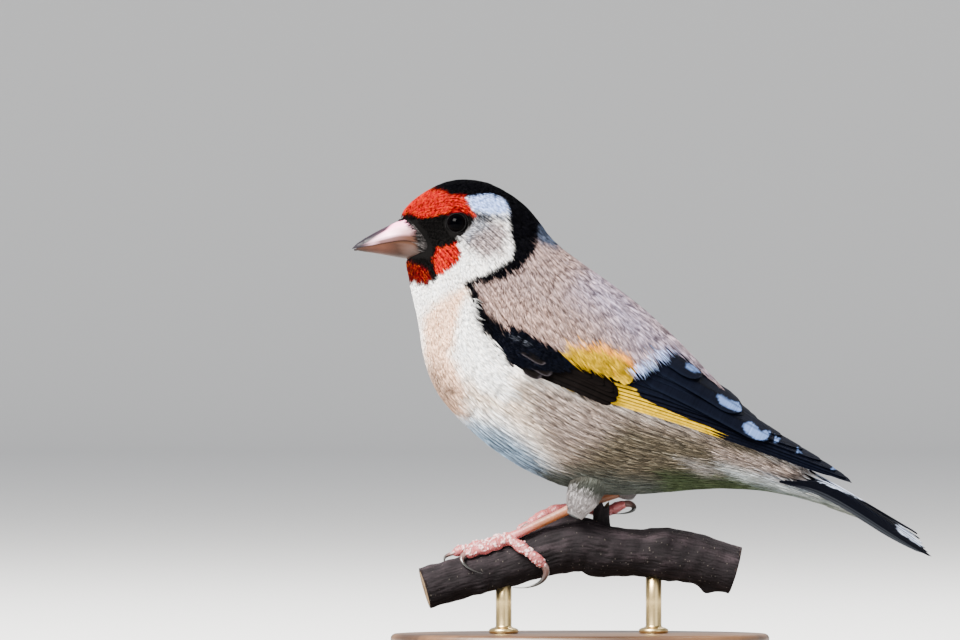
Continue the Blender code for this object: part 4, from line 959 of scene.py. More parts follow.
def wing_vane(root, tip, webs, lift, sink, tip_length, kind, steps, rng):
    """One feather: the rows of its upper and its under surface, its colours and its own map."""
    root, tip = np.array(root), np.array(tip)
    length = np.hypot(*(tip - root))
    ahead = (tip - root) / length
    upwards = np.array((-ahead[1], ahead[0]))
    t = np.linspace(0, 1, steps) ** 0.8
    start = 1 - tip_length / length
    round_off = np.sqrt(np.clip(1 - (np.maximum(t - start, 0) / (1 - start)) ** 2.2, 0.002, 1))
    opening = 0.5 + 0.5 * ease(0, 0.25, t)
    s = ACROSS[None, :]
    web = np.where(s < 0, webs[0], webs[1]) * (opening * round_off)[:, None]
    bow = 0.012 * length * np.sin(math.pi * t)
    t, s = np.broadcast_arrays(t[:, None], s)
    sideways = s * web + bow[:, None]
    x = root[0] + (tip[0] - root[0]) * t + upwards[0] * sideways
    z = root[1] + (tip[1] - root[1]) * t + upwards[1] * sideways
    shaft = 0.07 * ease(0.17, 0.03, np.abs(s)) * (1 - 0.6 * t)
    height = lift - sink * (1 - t) ** 2 - 0.22 * (s + 1) + 0.10 * (1 - s**2)
    upper, _ = on_wing(x, z, height + shaft)
    lower, _ = on_wing(x, z, height - VANE_THICKNESS * (1 - 0.5 * t))
    colour = vane_colour(kind, t, s, upper[..., 0], upper[..., 2], rng)
    dark = ease(0.17, 0.03, np.abs(s))[..., None] * (0.25 if kind == "yellow" else 0.5)
    own = np.stack([t * length, sideways], -1)
    rings = np.concatenate([upper, lower[:, ::-3]], 1)
    # painted shade: each vane's under surface is a darker copy of its upper one
    colour = np.concatenate([colour * (1 - dark), colour[:, ::-3] * 0.8], 1)
    return rings, colour, np.concatenate([own, own[:, ::-3]], 1)


def join_vanes(name, vanes, finish):
    """Vanes as one piece, with a map along and across each for its barbs, and a bake map."""
    points, faces, colours, maps, patches = [], [], [], [], []
    start = 0
    for i, (rings, colour, own) in enumerate(vanes):
        ring_points, ring_faces = closed_rings(rings)
        faces.append(ring_faces + start)
        start += len(ring_points)
        points.append(ring_points)
        colours += [colour.reshape(-1, 3), colour[[0, -1]].mean(1)]
        flat = own.reshape(-1, 2)
        low, high = flat.min(0), flat.max(0)
        for part in (flat, own[[0, -1]].mean(1)):
            along, across = ((part - low) / (high - low)).T
            maps.append(part)
            patches.append(
                np.stack([0.01 + 0.98 * along, (i + 0.1 + 0.8 * across) / len(vanes)], -1)
            )
    piece = mesh_piece(
        name, np.concatenate(points), np.concatenate(faces), finish,
        np.clip(np.concatenate(colours), 0, 1), np.concatenate(patches),
    )
    add_map(piece.data, "barbs", np.concatenate(maps))
    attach(piece, "root")
    return piece


def mirror_vanes(vanes):
    return [(rings * (1, -1, 1), colour, own) for rings, colour, own in vanes]


def add_relief(tree, shader, source, output, strength, depth):
    """A relief on a finish from the output of a node; depth is in metres."""
    bump = add_node(tree, "ShaderNodeBump", {"Strength": strength, "Distance": depth})
    wire(tree, (source, output, bump, "Height"), (bump, "Normal", shader, "Normal"))


def make_flight_finish():
    """Stiff glossy vane: paint, with fine barb lines slanting to the edges."""
    made, tree, shader, _ = make_finish(
        "flight_feather", GLOSS_BLACK, 0.48, {"Amount": 0.12}, {"Specular IOR Level": 0.015}
    )
    place = add_node(tree, "ShaderNodeUVMap", uv_map="barbs")
    parts = add_node(tree, "ShaderNodeSeparateXYZ")
    away = add_node(tree, "ShaderNodeMath", operation="ABSOLUTE")
    slant = add_node(tree, "ShaderNodeMath", {1: -1.3}, operation="MULTIPLY_ADD")
    lines = add_node(tree, "ShaderNodeMath", {1: 24.0}, operation="MULTIPLY")
    wave = add_node(tree, "ShaderNodeMath", operation="SINE")
    wire(
        tree,
        (place, "UV", parts, 0), (parts, "Y", away, 0), (away, 0, slant, 0),
        (parts, "X", slant, 2), (slant, 0, lines, 0), (lines, 0, wave, 0),
    )
    add_relief(tree, shader, wave, 0, 0.25, 0.00004)
    return made


flight_feather = make_flight_finish()
wing_rng = np.random.default_rng(23)
left_vanes = []
for row, (count, roots, tips, webs, lifts, sink, tip_length, kind) in WING_ROWS.items():
    for i, share in enumerate(np.linspace(0, 1, count)):
        root = read_lines(roots, share * (len(roots) - 1))
        tip = read_lines(tips, share * (len(tips) - 1))
        lift = np.interp(share, (0, 1), lifts)
        steps = LONG_STEPS if row in ("primary", "secondary", "tertial") else COVERT_STEPS
        left_vanes.append(
            wing_vane(root, tip, webs, lift, sink, tip_length, kind, steps, wing_rng)
        )
wing_left = join_vanes("wing_vanes_left", left_vanes, flight_feather)
wing_right = join_vanes(
    "wing_vanes_right", mirror_vanes(left_vanes), flight_feather
)
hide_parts("wing_left")
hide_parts("wing_right")

# The lesser coverts: small soft black feathers over the wing's bend and arm, some pale-tipped,
# in front of the stiff coverts and under the edge of the scapulars.
LESSER_COVERTS = (
    (-20.4, 70.2), (-19.8, 66.0), (-18.2, 62.4), (-16.2, 59.8), (-13.5, 58.2), (-10.0, 57.2),
    (-4.0, 56.8), (-1.0, 58.0), (-3.0, 61.0), (-6.0, 63.0), (-10.0, 65.4), (-16.0, 68.0),
)
LESSER_COUNT = 3700  # places drawn over each wing, of which those in the outline grow coverts
COVERT_MARKS = ((-11.9, 61.9, 1.0), (-9.8, 60.8, 0.9))  # pale marks: x, z and reach
MARK_COLOUR = (0.05, 0.055, 0.07)
soft_black = painted_material("soft_black_feather", 0.5, 0.15)


def barbs_on_wing(side, rng, x, z, heading, length, place, halves, lifts, loose, bulge):
    """Paths of barbs that lie back over the wing, their normals and their bake map."""
    paths, normals = [], []
    for share, half, lift in zip((0.0, 0.5, 1.0), halves, lifts):
        a = length * share
        b = place * half + rng.normal(0, loose[0], len(x)) * share
        high = lift + bulge * (1 - place**2) + rng.normal(0, loose[1], len(x))
        at_x = x + np.cos(heading) * a - np.sin(heading) * b
        at_z = z + np.sin(heading) * a + np.cos(heading) * b
        point, normal = on_wing(at_x, at_z, high)
        paths.append(point)
        normals.append(normal)
    flip = (1, 1, 1) if side == LEFT else (1, -1, 1)
    bake = np.stack([(x + 30) / 90, (z - 20) / 90], -1)
    return np.stack(paths, 1) * flip, np.stack(normals, 1) * flip, bake


for side, word in SIDES:
    rng = np.random.default_rng(41 + side)
    x = rng.uniform(-21, 0, LESSER_COUNT)
    z = rng.uniform(55, 71, LESSER_COUNT)
    inside = depth_in(LESSER_COVERTS, x, z) > 0
    x, z = x[inside], z[inside]
    of = np.repeat(np.arange(len(x)), 6)
    total = len(of)
    heading = np.radians(-27 - 10 * ease(-12, -20, x) + rng.normal(0, 5, len(x)))[of]
    place = rng.uniform(-1, 1, total)
    length = (2.2 + 0.8 * rng.uniform(0, 1, len(x)))[of] * (1 - 0.25 * place**2)
    paths, normals, bake = barbs_on_wing(
        side, rng, x[of], z[of], heading, length, place, (0.25, 0.5, 0.75), (-0.5, 0.1, 0.32),
        (0.05, 0.03), 0.15,
    )
    tone = np.clip(1 + rng.normal(0, 0.3, len(x))[of] + rng.normal(0, 0.35, total), 0.3, 2.5)
    colours = np.array(GLOSS_BLACK) * 1.1 * tone[:, None]
    marks = np.zeros(total, bool)
    for mark_x, mark_z, reach in COVERT_MARKS:
        marks |= np.hypot(paths[:, 2, 0] - mark_x, (paths[:, 2, 2] - mark_z) * 2.2) < reach
    marks &= rng.uniform(0, 1, total) < 0.5
    colours = np.where(marks[:, None], np.array(MARK_COLOUR), colours)
    build_barbs(
        paths, normals, np.full(total, COVERT_BARB), colours, bake,
        [f"lesser_coverts_{word}"], soft_black,
    )

# Loose white locks of the breast side, which lie back over the front edge of the folded wing.
BREAST_EDGE = (
    (-21.5, 70.4), (-20.9, 66.2), (-19.3, 62.2), (-17.2, 59.4), (-14.6, 57.9),
)
BREAST_LOCKS, LOCK_BARBS = 80, 5
for side, word in SIDES:
    rng = np.random.default_rng(60 + side)
    place = rng.uniform(0, 1, BREAST_LOCKS)
    start = read_lines(BREAST_EDGE, place * (len(BREAST_EDGE) - 1))
    start = start + rng.normal(0, 0.3, (BREAST_LOCKS, 2))
    heading = np.radians(-40 + 12 * place + rng.normal(0, 7, BREAST_LOCKS))
    long = rng.uniform(2.4, 4.6, BREAST_LOCKS) * (1 - 0.35 * place)
    of = np.repeat(np.arange(BREAST_LOCKS), LOCK_BARBS)
    spread = rng.uniform(-1, 1, len(of))
    reach = long[of] * (1 - 0.3 * spread**2) * rng.uniform(0.75, 1.05, len(of))
    paths, normals, bake = barbs_on_wing(
        side, rng, start[of, 0], start[of, 1], heading[of], reach, spread, (0.30, 0.2025, 0.105),
        (-0.15, 0.60, 0.80), (0.04, 0.05), 0.0,
    )
    tone = rng.uniform(0.45, 0.95, len(of))[:, None]
    build_barbs(
        paths, normals, np.full(len(of), LOCK_BARB), np.array(WHITE) * tone, bake,
        [f"breast_locks_{word}"], feather,
    )

# The tail: six pairs of stiff feathers fanned out a little from the middle pair down to the
# outer one, black with white patches, their roots hidden in the tail coverts.
TAIL_PAIRS = 6
# Shafts of the middle and of the outer feather of each side: root, middle and tip
MIDDLE_SHAFT = ((43.5, 0.9, 37.0), (50.0, 1.0, 33.3), (62.4, 1.3, 26.0))
OUTER_SHAFT = ((38.0, 4.6, 36.0), (48.0, 5.0, 33.9), (65.6, 4.4, 23.05))
TAIL_WEB = 1.75  # width of a feather to either side of its shaft
TAIL_STACK = 2.2  # how far the outer feather lies under the middle one
TAIL_ROLLS = ((8.0, 62.0), (5.0, 40.0))  # at the root and the tip, of the middle and the outer
TAIL_SPOT = (0.42, 0.48, 0.62)
TAIL_EDGE = (0.085, 0.095, 0.11)
TAIL_WHITE = (
    ((44.2, 35.6), (45.1, 36.6), (47.3, 35.7), (49.7, 34.4), (54.2, 31.5), (53.9, 31.2),
     (51.2, 32.5), (46.6, 34.4)),
    ((60.0, 26.8), (60.9, 26.5), (62.6, 25.3), (64.4, 23.9), (65.6, 22.6), (64.3, 22.8),
     (62.6, 24.0), (61.3, 24.9), (60.4, 25.6)),
)


def tail_vane(side, share, rng):
    """One tail feather, rolled outwards, with its colours and its own map."""
    t = np.linspace(0, 1, 80) ** 0.9
    shaft_line = read_lines(MIDDLE_SHAFT, 2 * t) * (1 - share)
    shaft_line = (shaft_line + read_lines(OUTER_SHAFT, 2 * t) * share) * (1, side, 1)
    if side == RIGHT:
        shaft_line = shaft_line - (0, 0, 0.14)
    ahead = unit(np.gradient(shaft_line, axis=0))
    roll = np.interp(t, (0, 1), [np.interp(share, (0, 1), pair) for pair in TAIL_ROLLS])
    roll = np.radians(roll)[:, None]
    flat = unit(np.cross(ahead, (0, 0, 1.0))) * side
    up = np.cross(flat, ahead) * side
    across = flat * np.cos(roll) - up * np.sin(roll)
    normal = up * np.cos(roll) + flat * np.sin(roll)
    s = ACROSS[None, :]
    opening = 0.10 + 0.90 * ease(-0.05, 0.55, t)
    pointed = 1 - 0.75 * np.maximum((t - 0.8) / 0.2, 0) ** 1.7
    narrower = 1 - 0.18 * ease(0.4, 0.9, t)
    web = TAIL_WEB * opening * narrower * pointed
    t, s = np.broadcast_arrays(t[:, None], s)
    sideways = s * web[:, None]
    # the inner web runs on past the outer one, so that the tip is slanted
    skew = 1.3 * ease(0.8, 1.0, t) * (0.5 - s)
    rise = 0.14 * (1 - s**2) + 0.06 * ease(0.17, 0.03, np.abs(s)) * (1 - 0.6 * t)
    base = shaft_line[:, None] + across[:, None] * sideways[..., None]
    base = base + ahead[:, None] * skew[..., None] - normal[:, None] * TAIL_STACK * share
    upper = base + normal[:, None] * rise[..., None]
    lower = base + normal[:, None] * (0.14 * (1 - s**2) - VANE_THICKNESS)[..., None]
    colour = np.zeros(t.shape + (3,)) + GLOSS_BLACK
    ragged = rng.normal(0, 0.10, t.shape[0])[:, None]
    for spot in TAIL_WHITE:
        inside = ease(-0.1, 0.12, depth_in(spot, base[..., 0], base[..., 2]) + ragged)
        colour = mix(colour, TAIL_SPOT, inside)
    edge_from = 0.74 if share == 1 else 0.88
    pale_edge = ease(edge_from, 0.97, s) * ease(0.05, 0.3, t) * 0.5
    if share > 0.5:
        # the edges of the feathers above show as fine pale lines
        pale_edge = pale_edge + 0.32 * (np.isin(s, (0.44, 0.72)) * ease(0.1, 0.35, t))
    colour = mix(colour, np.array(TAIL_EDGE) * (1 if share == 1 else 0.6), pale_edge)
    rings = np.concatenate([upper, lower[:, ::-1]], 1)
    own = np.stack([t * 26.0, sideways], -1)
    # painted shade: each tail feather's under surface is a darker copy of its upper one
    colour = np.concatenate([colour, colour[:, ::-1] * 0.7], 1)
    return rings, colour, np.concatenate([own, own[:, ::-1]], 1)


tail_rng = np.random.default_rng(31)
tail_vanes = [
    tail_vane(side, share, tail_rng)
    for share in np.linspace(0, 1, TAIL_PAIRS)
    for side in (LEFT, RIGHT)
]
tail = join_vanes("tail_vanes", tail_vanes, flight_feather)
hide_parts("tail")

# The eyes: dark glossy balls, sunk in the head as deep as a live bird's, each in a bare ring of
# fine pale beads of skin at the edge of its lids.
EYE_RADIUS = 2.5
EYE_SHOWN = 1.78  # radius of the part that the lids leave open
PUPIL, IRIS = (0.0001, 0.0001, 0.0003), (0.0004, 0.0002, 0.0001)
eye_finish, tree, shader = new_material(
    "eye_wet", (0.004, 0.003, 0.003), 0.04, {"Specular IOR Level": 0.012}
)
eye_paint = add_node(tree, "ShaderNodeAttribute", attribute_name="plumage")
wire(tree, (eye_paint, "Color", shader, "Base Color"))


def eye_place(side):
    """Centre of an eye, the way it looks out, and how far the open lids lie from the centre."""
    u, v = line_at(BODY_LINES, *EYE_AT)
    surface, normal = body_surface(u, v, 0.0)
    outward = unit(normal + (-0.05, 0, 0))
    depth = math.sqrt(EYE_RADIUS**2 - EYE_SHOWN**2)
    flip = np.array((1, 1, 1)) if side == LEFT else np.array((1, -1, 1))
    return (surface - outward * depth) * flip, outward * flip, depth


def make_lid_tree():
    """Lid beads: a ring of small beads, each a little different in size."""
    tree, given, out = new_group(
        "lid_beads", "GeometryNodeTree",
        (("Count", "Int", 30), ("Ring", "Float", 0.002), ("Bead", "Float", 0.0002),
         ("Seed", "Int", 5), ("Finish", "Material", None)),
        ("Beads", "Geometry"),
    )
    ring = add_node(tree, "GeometryNodeMeshCircle")
    bead = add_node(tree, "GeometryNodeMeshIcoSphere", {"Subdivisions": 2})
    size = add_node(tree, "FunctionNodeRandomValue", {2: 0.7, 3: 1.15}, data_type="FLOAT")
    place = add_node(tree, "GeometryNodeInstanceOnPoints")
    real = add_node(tree, "GeometryNodeRealizeInstances")
    cover = add_node(tree, "GeometryNodeSetMaterial")
    wire(
        tree,
        (given, "Count", ring, "Vertices"), (given, "Ring", ring, "Radius"),
        (given, "Bead", bead, "Radius"), (given, "Seed", size, "Seed"),
        (ring, "Mesh", place, "Points"), (bead, "Mesh", place, "Instance"),
        (size, 1, place, "Scale"), (place, "Instances", real, "Geometry"),
        (real, "Geometry", cover, "Geometry"), (given, "Finish", cover, "Material"),
        (cover, "Geometry", out, "Beads"),
    )
    return tree


def grown_from(tree, name, values, source=None):
    """A plain mesh object from a geometry tree, with its named inputs set."""
    start = new_object(name, source or bpy.data.meshes.new(name))
    modifier = start.modifiers.new("grow", "NODES")
    modifier.node_group = tree
    for item in tree.interface.items_tree:
        if item.item_type == "SOCKET" and item.in_out == "INPUT" and item.name in values:
            modifier[item.identifier] = values[item.name]
    mesh = applied_mesh(start)
    bpy.data.objects.remove(start)
    mesh.name = name
    mesh.shade_smooth()
    return new_object(name, mesh)


lid_tree = make_lid_tree()
bare_skin = new_material(
    "lid_fold", (0.0008, 0.0007, 0.0008), 0.6, {"Specular IOR Level": 0.02}
)[0]
lid_skin = make_finish(
    "lid_skin", (0.05, 0.048, 0.050), 0.6, {"Color": (0.0065, 0.0062, 0.0068, 1), "Amount": 1.2},
    {"Specular IOR Level": 0.2}, painted=False,
)[0]
LID_AROUND = 56
for side, word in SIDES:
    centre, outward, depth = eye_place(side)
    first = unit(np.cross(outward, (0, 0, 1.0)))
    second = np.cross(outward, first)
    angles = np.linspace(0.02, math.pi - 0.02, 40)
    spokes = spokes_at(full_turn(LID_AROUND), first, second)
    bulge = 0.14 * np.exp(-((angles / 0.55) ** 2))
    rings = centre + (EYE_RADIUS + bulge)[:, None, None] * (
        np.cos(angles)[:, None, None] * outward + np.sin(angles)[:, None, None] * spokes
    )
    points, faces = closed_rings(rings)
    away = np.degrees(np.arccos(np.clip(unit(points - centre) @ outward, -1, 1)))
    iris = (ease(26, 30, away) * (1 - ease(50, 58, away)))[:, None]
    paint = np.array(PUPIL) + iris * np.array(IRIS)
    eye = mesh_piece(f"eyeball_{word}", points, faces, eye_finish, paint)
    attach(eye, "root")
    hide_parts(f"eye_{word}")
    # the lids: a low fold of bare sooty skin over the ball, from its rim out under the feathers
    reach = np.array((1.70, 1.76, 1.88, 2.05, 2.25, 2.6, 3.0, 3.0, 2.0))
    over = np.array((0.00, 0.09, 0.13, 0.12, 0.10, 0.02, -0.2, -0.9, -0.8))
    ball = np.sqrt(np.maximum(EYE_RADIUS**2 - np.minimum(reach, 2.25) ** 2, 0))
    fold = centre + reach[:, None, None] * spokes + (ball + over)[:, None, None] * outward
    i, k = np.meshgrid(np.arange(len(reach)), np.arange(LID_AROUND), indexing="ij")
    row, next_row = i * LID_AROUND, (i + 1) % len(reach) * LID_AROUND
    next_k = (k + 1) % LID_AROUND
    quads = np.stack([row + k, next_row + k, next_row + next_k, row + next_k], -1).reshape(-1, 4)
    lids = mesh_piece(f"lids_{word}", fold.reshape(-1, 3), quads, bare_skin)
    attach(lids, "root")
    for name, ring, bead, count, seed in (("rim", 1.84, 0.05, 60, 5), ("edge", 2.20, 0.075, 56, 8)):
        beads = grown_from(
            lid_tree,
            f"lid_{name}_{word}",
            {"Count": count, "Ring": ring * MM, "Bead": bead * MM, "Seed": seed,
             "Finish": lid_skin},
        )
        sunk = math.sqrt(EYE_RADIUS**2 - ring**2) + 0.10
        turn = Vector(outward).to_track_quat("Z", "Y").to_matrix().to_4x4()
        turn.translation = Vector((centre + outward * sunk) * MM)
        beads.data.transform(turn)
        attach(beads, "root")

# The bill: two horn sheaths, a pale pinkish cone with a dusky ridge and tip, stained brown along
# the cutting edges, the lower one painted darker as shade under the upper, and the short dark
# bristles that lie forward over its root and nostrils.
BILL_TIP = (-43.3, 79.0)
BILL_ROOT_X = -27.6
BILL_LINES = (
    # share of the length, culmen z, mouth line z, under edge z, half width
    (0.00, 79.20, 79.05, 78.90, 0.12),
    (0.06, 80.10, 79.30, 78.72, 0.60),
    (0.15, 81.05, 79.62, 78.50, 1.10),
    (0.30, 82.35, 80.12, 78.15, 1.82),
    (0.45, 83.50, 80.55, 77.72, 2.45),
    (0.60, 84.50, 80.85, 77.30, 2.95),
    (0.74, 85.35, 80.60, 76.95, 3.40),
    (0.87, 86.00, 79.60, 76.75, 3.75),
    (1.00, 86.40, 78.40, 76.60, 3.95),
)
BRISTLES, BRISTLE_WIDTH = 900, 0.09  # on each side
HORN_PINK = (0.95, 0.33, 0.54)
HORN_PALE = (0.95, 0.55, 0.68)
HORN_TIP = (0.036, 0.017, 0.019)
HORN_DUSK = (0.006, 0.005, 0.008)
HORN_STAIN = (0.030, 0.0085, 0.0012)
HORN_SALMON = (0.13, 0.043, 0.027)
HORN_ROOT = (0.048, 0.020, 0.016)
# The lower sheath from the tip to the root: share of the length and colour, its own amber and grey
# horn darkened by painted shade under the upper sheath
LOWER_TONES_IN_SHADE = (
    (0.00, 0.014, 0.007, 0.005),
    (0.12, 0.021, 0.0080, 0.0044),
    (0.24, 0.038, 0.0120, 0.0062),
    (0.36, 0.046, 0.0140, 0.0070),
    (0.47, 0.030, 0.0088, 0.0036),
    (0.55, 0.020, 0.0059, 0.0020),
    (0.61, 0.034, 0.0150, 0.0095),
    (0.70, 0.048, 0.0260, 0.0200),
    (0.82, 0.040, 0.0260, 0.0215),
    (0.90, 0.012, 0.0078, 0.0070),
    (1.00, 0.003, 0.0020, 0.0020),
)


def bill_row(share):
    """Culmen, mouth line, under edge and half width of the bill at a share of its length."""
    at = np.interp(share, [row[0] for row in BILL_LINES], range(len(BILL_LINES)))
    row = read_lines(BILL_LINES, at)
    return row[..., 1], row[..., 2], row[..., 3], row[..., 4]


def bill_half(upper):
    share = np.linspace(0, 1, 110) ** 1.15
    culmen, mouth, under, half = (v[:, None] for v in bill_row(share))
    turn = np.linspace(0, math.pi, 81)[None, :]
    x = (BILL_TIP[0] + share * (BILL_ROOT_X - BILL_TIP[0]))[:, None]
    close = 0.04 * np.minimum(1, share * 6)[:, None]
    y = -half * np.cos(turn) * (1.0 if upper else 0.95)
    bend = np.sin(turn) ** 0.8
    if upper:
        z = mouth + close + np.maximum(culmen - mouth, 0.06) * bend
        # the cutting edge overhangs a little
        z = z - 0.26 * np.abs(np.cos(turn)) ** 8 * np.minimum(1, share * 4)[:, None]
    else:
        z = mouth - close - np.maximum(mouth - under, 0.06) * bend
        x = np.maximum(x, BILL_TIP[0] + 0.35)
        z = z - np.where(share[:, None] < 0.05, 0.1, 0)
    ring = np.stack(np.broadcast_arrays(x, y, z), -1)
    floor = ring[:, [-1]] * (1, 0.5, 1) + (0, 0, 0.03 if upper else -0.03)
    other = ring[:, [0]] * (1, 0.5, 1) + (0, 0, 0.03 if upper else -0.03)
    return np.concatenate([ring, floor, other], 1)


def bill_colour(points, upper):
    """Pale pink above, dusk on the ridge and tip, brown stain along the cutting edges, and the lower
    sheath in its own horn darkened by painted shade.
    """
    x, _, z = points.T
    share = (x - BILL_TIP[0]) / (BILL_ROOT_X - BILL_TIP[0])
    culmen, mouth, under, _ = bill_row(np.clip(share, 0, 1))
    across = (z - mouth) / np.maximum(culmen - under, 0.2)
    streak = 0.5 * np.sin(14 * across + 0.8 * x) + 0.3 * np.sin(33 * across - 0.5 * x)
    streak = streak + 0.3 * np.sin(61 * across + 0.3 * x)
    if upper:
        high = np.clip((z - mouth) / np.maximum(culmen - mouth, 0.1), 0, 1)
        tone = mix(HORN_PALE, HORN_PINK, ease(0.4, 0.9, high))
        ridge = 1 - np.interp(share, (0, 0.12, 0.25, 0.38, 0.52), (1.0, 0.74, 0.50, 0.28, -0.1))
        dusk = ease(ridge - 0.14, ridge + 0.12, high + 0.05 * streak)
        dusk = np.maximum(dusk, ease(0.27, 0.09, share + 0.03 * streak))
        hidden = ease(0.84, 0.92, share) * ease(0.8, 0.3, high)
        stain = ease(0.34, 0.14, high + 0.05 * streak) * ease(0.14, 0.36, share)
        tone = mix(tone, HORN_TIP, 0.9 * ease(0.44, 0.14, share + 0.05 * streak))
        warm = ease(0.42, 0.66, share + 0.04 * streak) * ease(0.85, 0.40, high)
        tone = mix(tone, HORN_SALMON, 0.75 * warm)
        rooted = ease(0.56, 0.80, share - 0.16 * high + 0.05 * streak)
        tone = mix(tone, HORN_ROOT, 0.85 * rooted)
    else:
        high = np.clip((mouth - z) / np.maximum(mouth - under, 0.1), 0, 1)
        table = np.array(LOWER_TONES_IN_SHADE)
        along = share + 0.03 * streak
        tone = np.stack([np.interp(along, table[:, 0], table[:, k]) for k in (1, 2, 3)], -1)
        dusk = 0.8 * ease(0.10, 0.0, share)
        stain = ease(0.34, 0.08, high + 0.08 * streak) * ease(0.1, 0.3, share)
        stain = 0.9 * stain * ease(0.95, 0.75, share)
        hidden = 0
    tone = mix(tone, HORN_STAIN, 0.95 * stain)
    tone = mix(tone, HORN_DUSK, 0.985 * dusk)
    return mix(tone, SOOT, np.maximum(hidden, ease(0.90, 0.95, share)))


def stretched_noise(tree, scale, detail, distortion=0.0):
    """Noise in the piece's own space, of a scale of its own along x, y and z."""
    place = add_node(tree, "ShaderNodeTexCoord")
    stretch = add_node(tree, "ShaderNodeMapping", {"Scale": scale})
    noise = add_node(
        tree, "ShaderNodeTexNoise", {"Scale": 1.0, "Detail": detail, "Distortion": distortion}
    )
    wire(tree, (place, "Object", stretch, "Vector"), (stretch, "Vector", noise, "Vector"))
    return noise


# horn has fine lengthwise streaks, a soft gloss and light under its surface
horn, tree, shader, _ = make_finish(
    "bill_horn", HORN_PINK, 0.42, {"Amount": 0.22, "Fine": 1500.0},
    {"Specular IOR Level": 0.15, "Subsurface Weight": 0.05,
     "Subsurface Radius": (0.0012, 0.0005, 0.0003)},
)
add_relief(tree, shader, stretched_noise(tree, (180, 900, 900), 4.0), "Fac", 0.35, 0.00006)
for upper, word in ((True, "upper"), (False, "lower")):
    points, faces = closed_rings(bill_half(upper))
    paint = np.clip(bill_colour(points, upper), 0, 1)
    half = mesh_piece(f"bill_sheath_{word}", points, faces, horn, paint)
    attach(half, "root")
    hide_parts(f"bill_{word}")

bristle_rng = np.random.default_rng(12)
count = BRISTLES
place = bristle_rng.uniform(0, 1, count)
feather_line = ((-34.3, 85.9), (-32.2, 85.2), (-30.7, 84.0), (-29.7, 81.6), (-29.1, 79.4),
                (-28.8, 77.6))
start = read_lines(feather_line, place * 5) + bristle_rng.normal(0, 0.25, (count, 2))
start[:, 0] += 0.3
long = 0.8 + 2.2 * ease(0.05, 0.3, place) * bristle_rng.uniform(0.1, 1, count) ** 1.6
start_row = bill_row((start[:, 0] - BILL_TIP[0]) / (BILL_ROOT_X - BILL_TIP[0]))
start[:, 1] = np.minimum(start[:, 1], start_row[0] + 0.1)
heading = np.radians(180 + 40 - 75 * place + bristle_rng.normal(0, 12, count))
paths = []
for share in (0.0, 0.5, 1.0):
    x = start[:, 0] + np.cos(heading) * long * share
    z = start[:, 1] + np.sin(heading) * long * share + 0.15 * share
    culmen, mouth, under, half = bill_row(
        np.clip((x - BILL_TIP[0]) / (BILL_ROOT_X - BILL_TIP[0]), 0, 1)
    )
    high = np.where(z > mouth, (z - mouth) / (culmen - mouth), (mouth - z) / (mouth - under))
    bend = np.clip(high, 0, 0.999) ** 1.25
    y = half * np.sqrt(1 - bend**2) + (0.25, 0.22, 0.12)[int(share * 2)]
    paths.append(np.stack([x, -y, z], -1))
paths = np.stack(paths, 1)
normals = np.zeros_like(paths) + (-0.2, -1, 0.3)
tone = bristle_rng.uniform(0.4, 5.0, count)[:, None]
tone = tone * np.where((place > 0.4) & (bristle_rng.uniform(0, 1, count) < 0.35), 9, 1)[:, None]
for side, word in SIDES:
    flip = (1, 1, 1) if side == LEFT else (1, -1, 1)
    build_barbs(
        paths * flip, unit(normals * flip), np.full(count, BRISTLE_WIDTH), np.array(SOOT) * tone,
        np.stack([place, long / 5], -1), [f"bristles_{word}"], soft_black,
    )

# The perch: a short length of thin branch, sawn off at both ends and still in its bark, which is
# finely furrowed along the grain, knotted, and dotted with pale corky pores.
PERCH_LINES = (
    # x, y, z and radius
    (-29.5, -2.2, 14.6, 3.85),
    (-21.5, -1.5, 16.9, 3.95),
    (-13.4, -0.7, 19.0, 4.00),
    (-6.4, -0.2, 21.7, 4.75),
    (0.0, 0.0, 22.8, 5.05),
    (5.2, 0.3, 21.8, 4.75),
    (11.2, 0.8, 21.3, 4.35),
    (15.4, 1.1, 21.1, 4.95),
    (21.0, 1.6, 20.3, 4.80),
    (29.5, 2.2, 17.9, 4.55),
)
# Knots in the bark: x, turn from the top in degrees, reach and height
KNOTS = (
    (-3.5, -35.0, 3.6, 1.5),
    (3.8, 165.0, 1.8, 0.7),
    (15.6, 60.0, 1.5, 0.8),
    (16.0, -120.0, 1.6, 0.7),
    (25.6, 170.0, 1.3, 1.2),
    (-20.0, 140.0, 1.5, 0.5),
)
STUB_FOOT, STUB_TOP, STUB_RADIUS = (3.9, 1.2, 24.0), (4.2, 1.8, 30.3), 1.6
STUB_HEIGHT, STUB_STEPS, STUB_AROUND = 6.3, 70, 64
BARK_FURROW_SHADE = (0.0016, 0.0010, 0.0012)
BARK_MID = (0.0048, 0.0034, 0.0042)
BARK_PALE = (0.026, 0.0185, 0.0215)
SAPWOOD = (0.15, 0.097, 0.05)
HEARTWOOD_LOSS = (0.30, 0.38, 0.42)
INNER_BARK = (0.014, 0.0072, 0.006)
PERCH_STEPS, PERCH_AROUND = 270, 144


def perch_frame(x):
    """Middle, radius and the directions along, up and to the left of the perch at places."""
    last = len(PERCH_LINES) - 1
    at = np.interp(x, [row[0] for row in PERCH_LINES], range(last + 1))
    row = read_lines(PERCH_LINES, at)
    ahead = read_lines(PERCH_LINES, np.minimum(at + 0.05, last))
    behind = read_lines(PERCH_LINES, np.maximum(at - 0.05, 0))
    along = unit(ahead[..., :3] - behind[..., :3])
    left = unit(np.cross(along, (0, 0, 1.0)))
    return row[..., :3], row[..., 3], along, np.cross(left, along), left


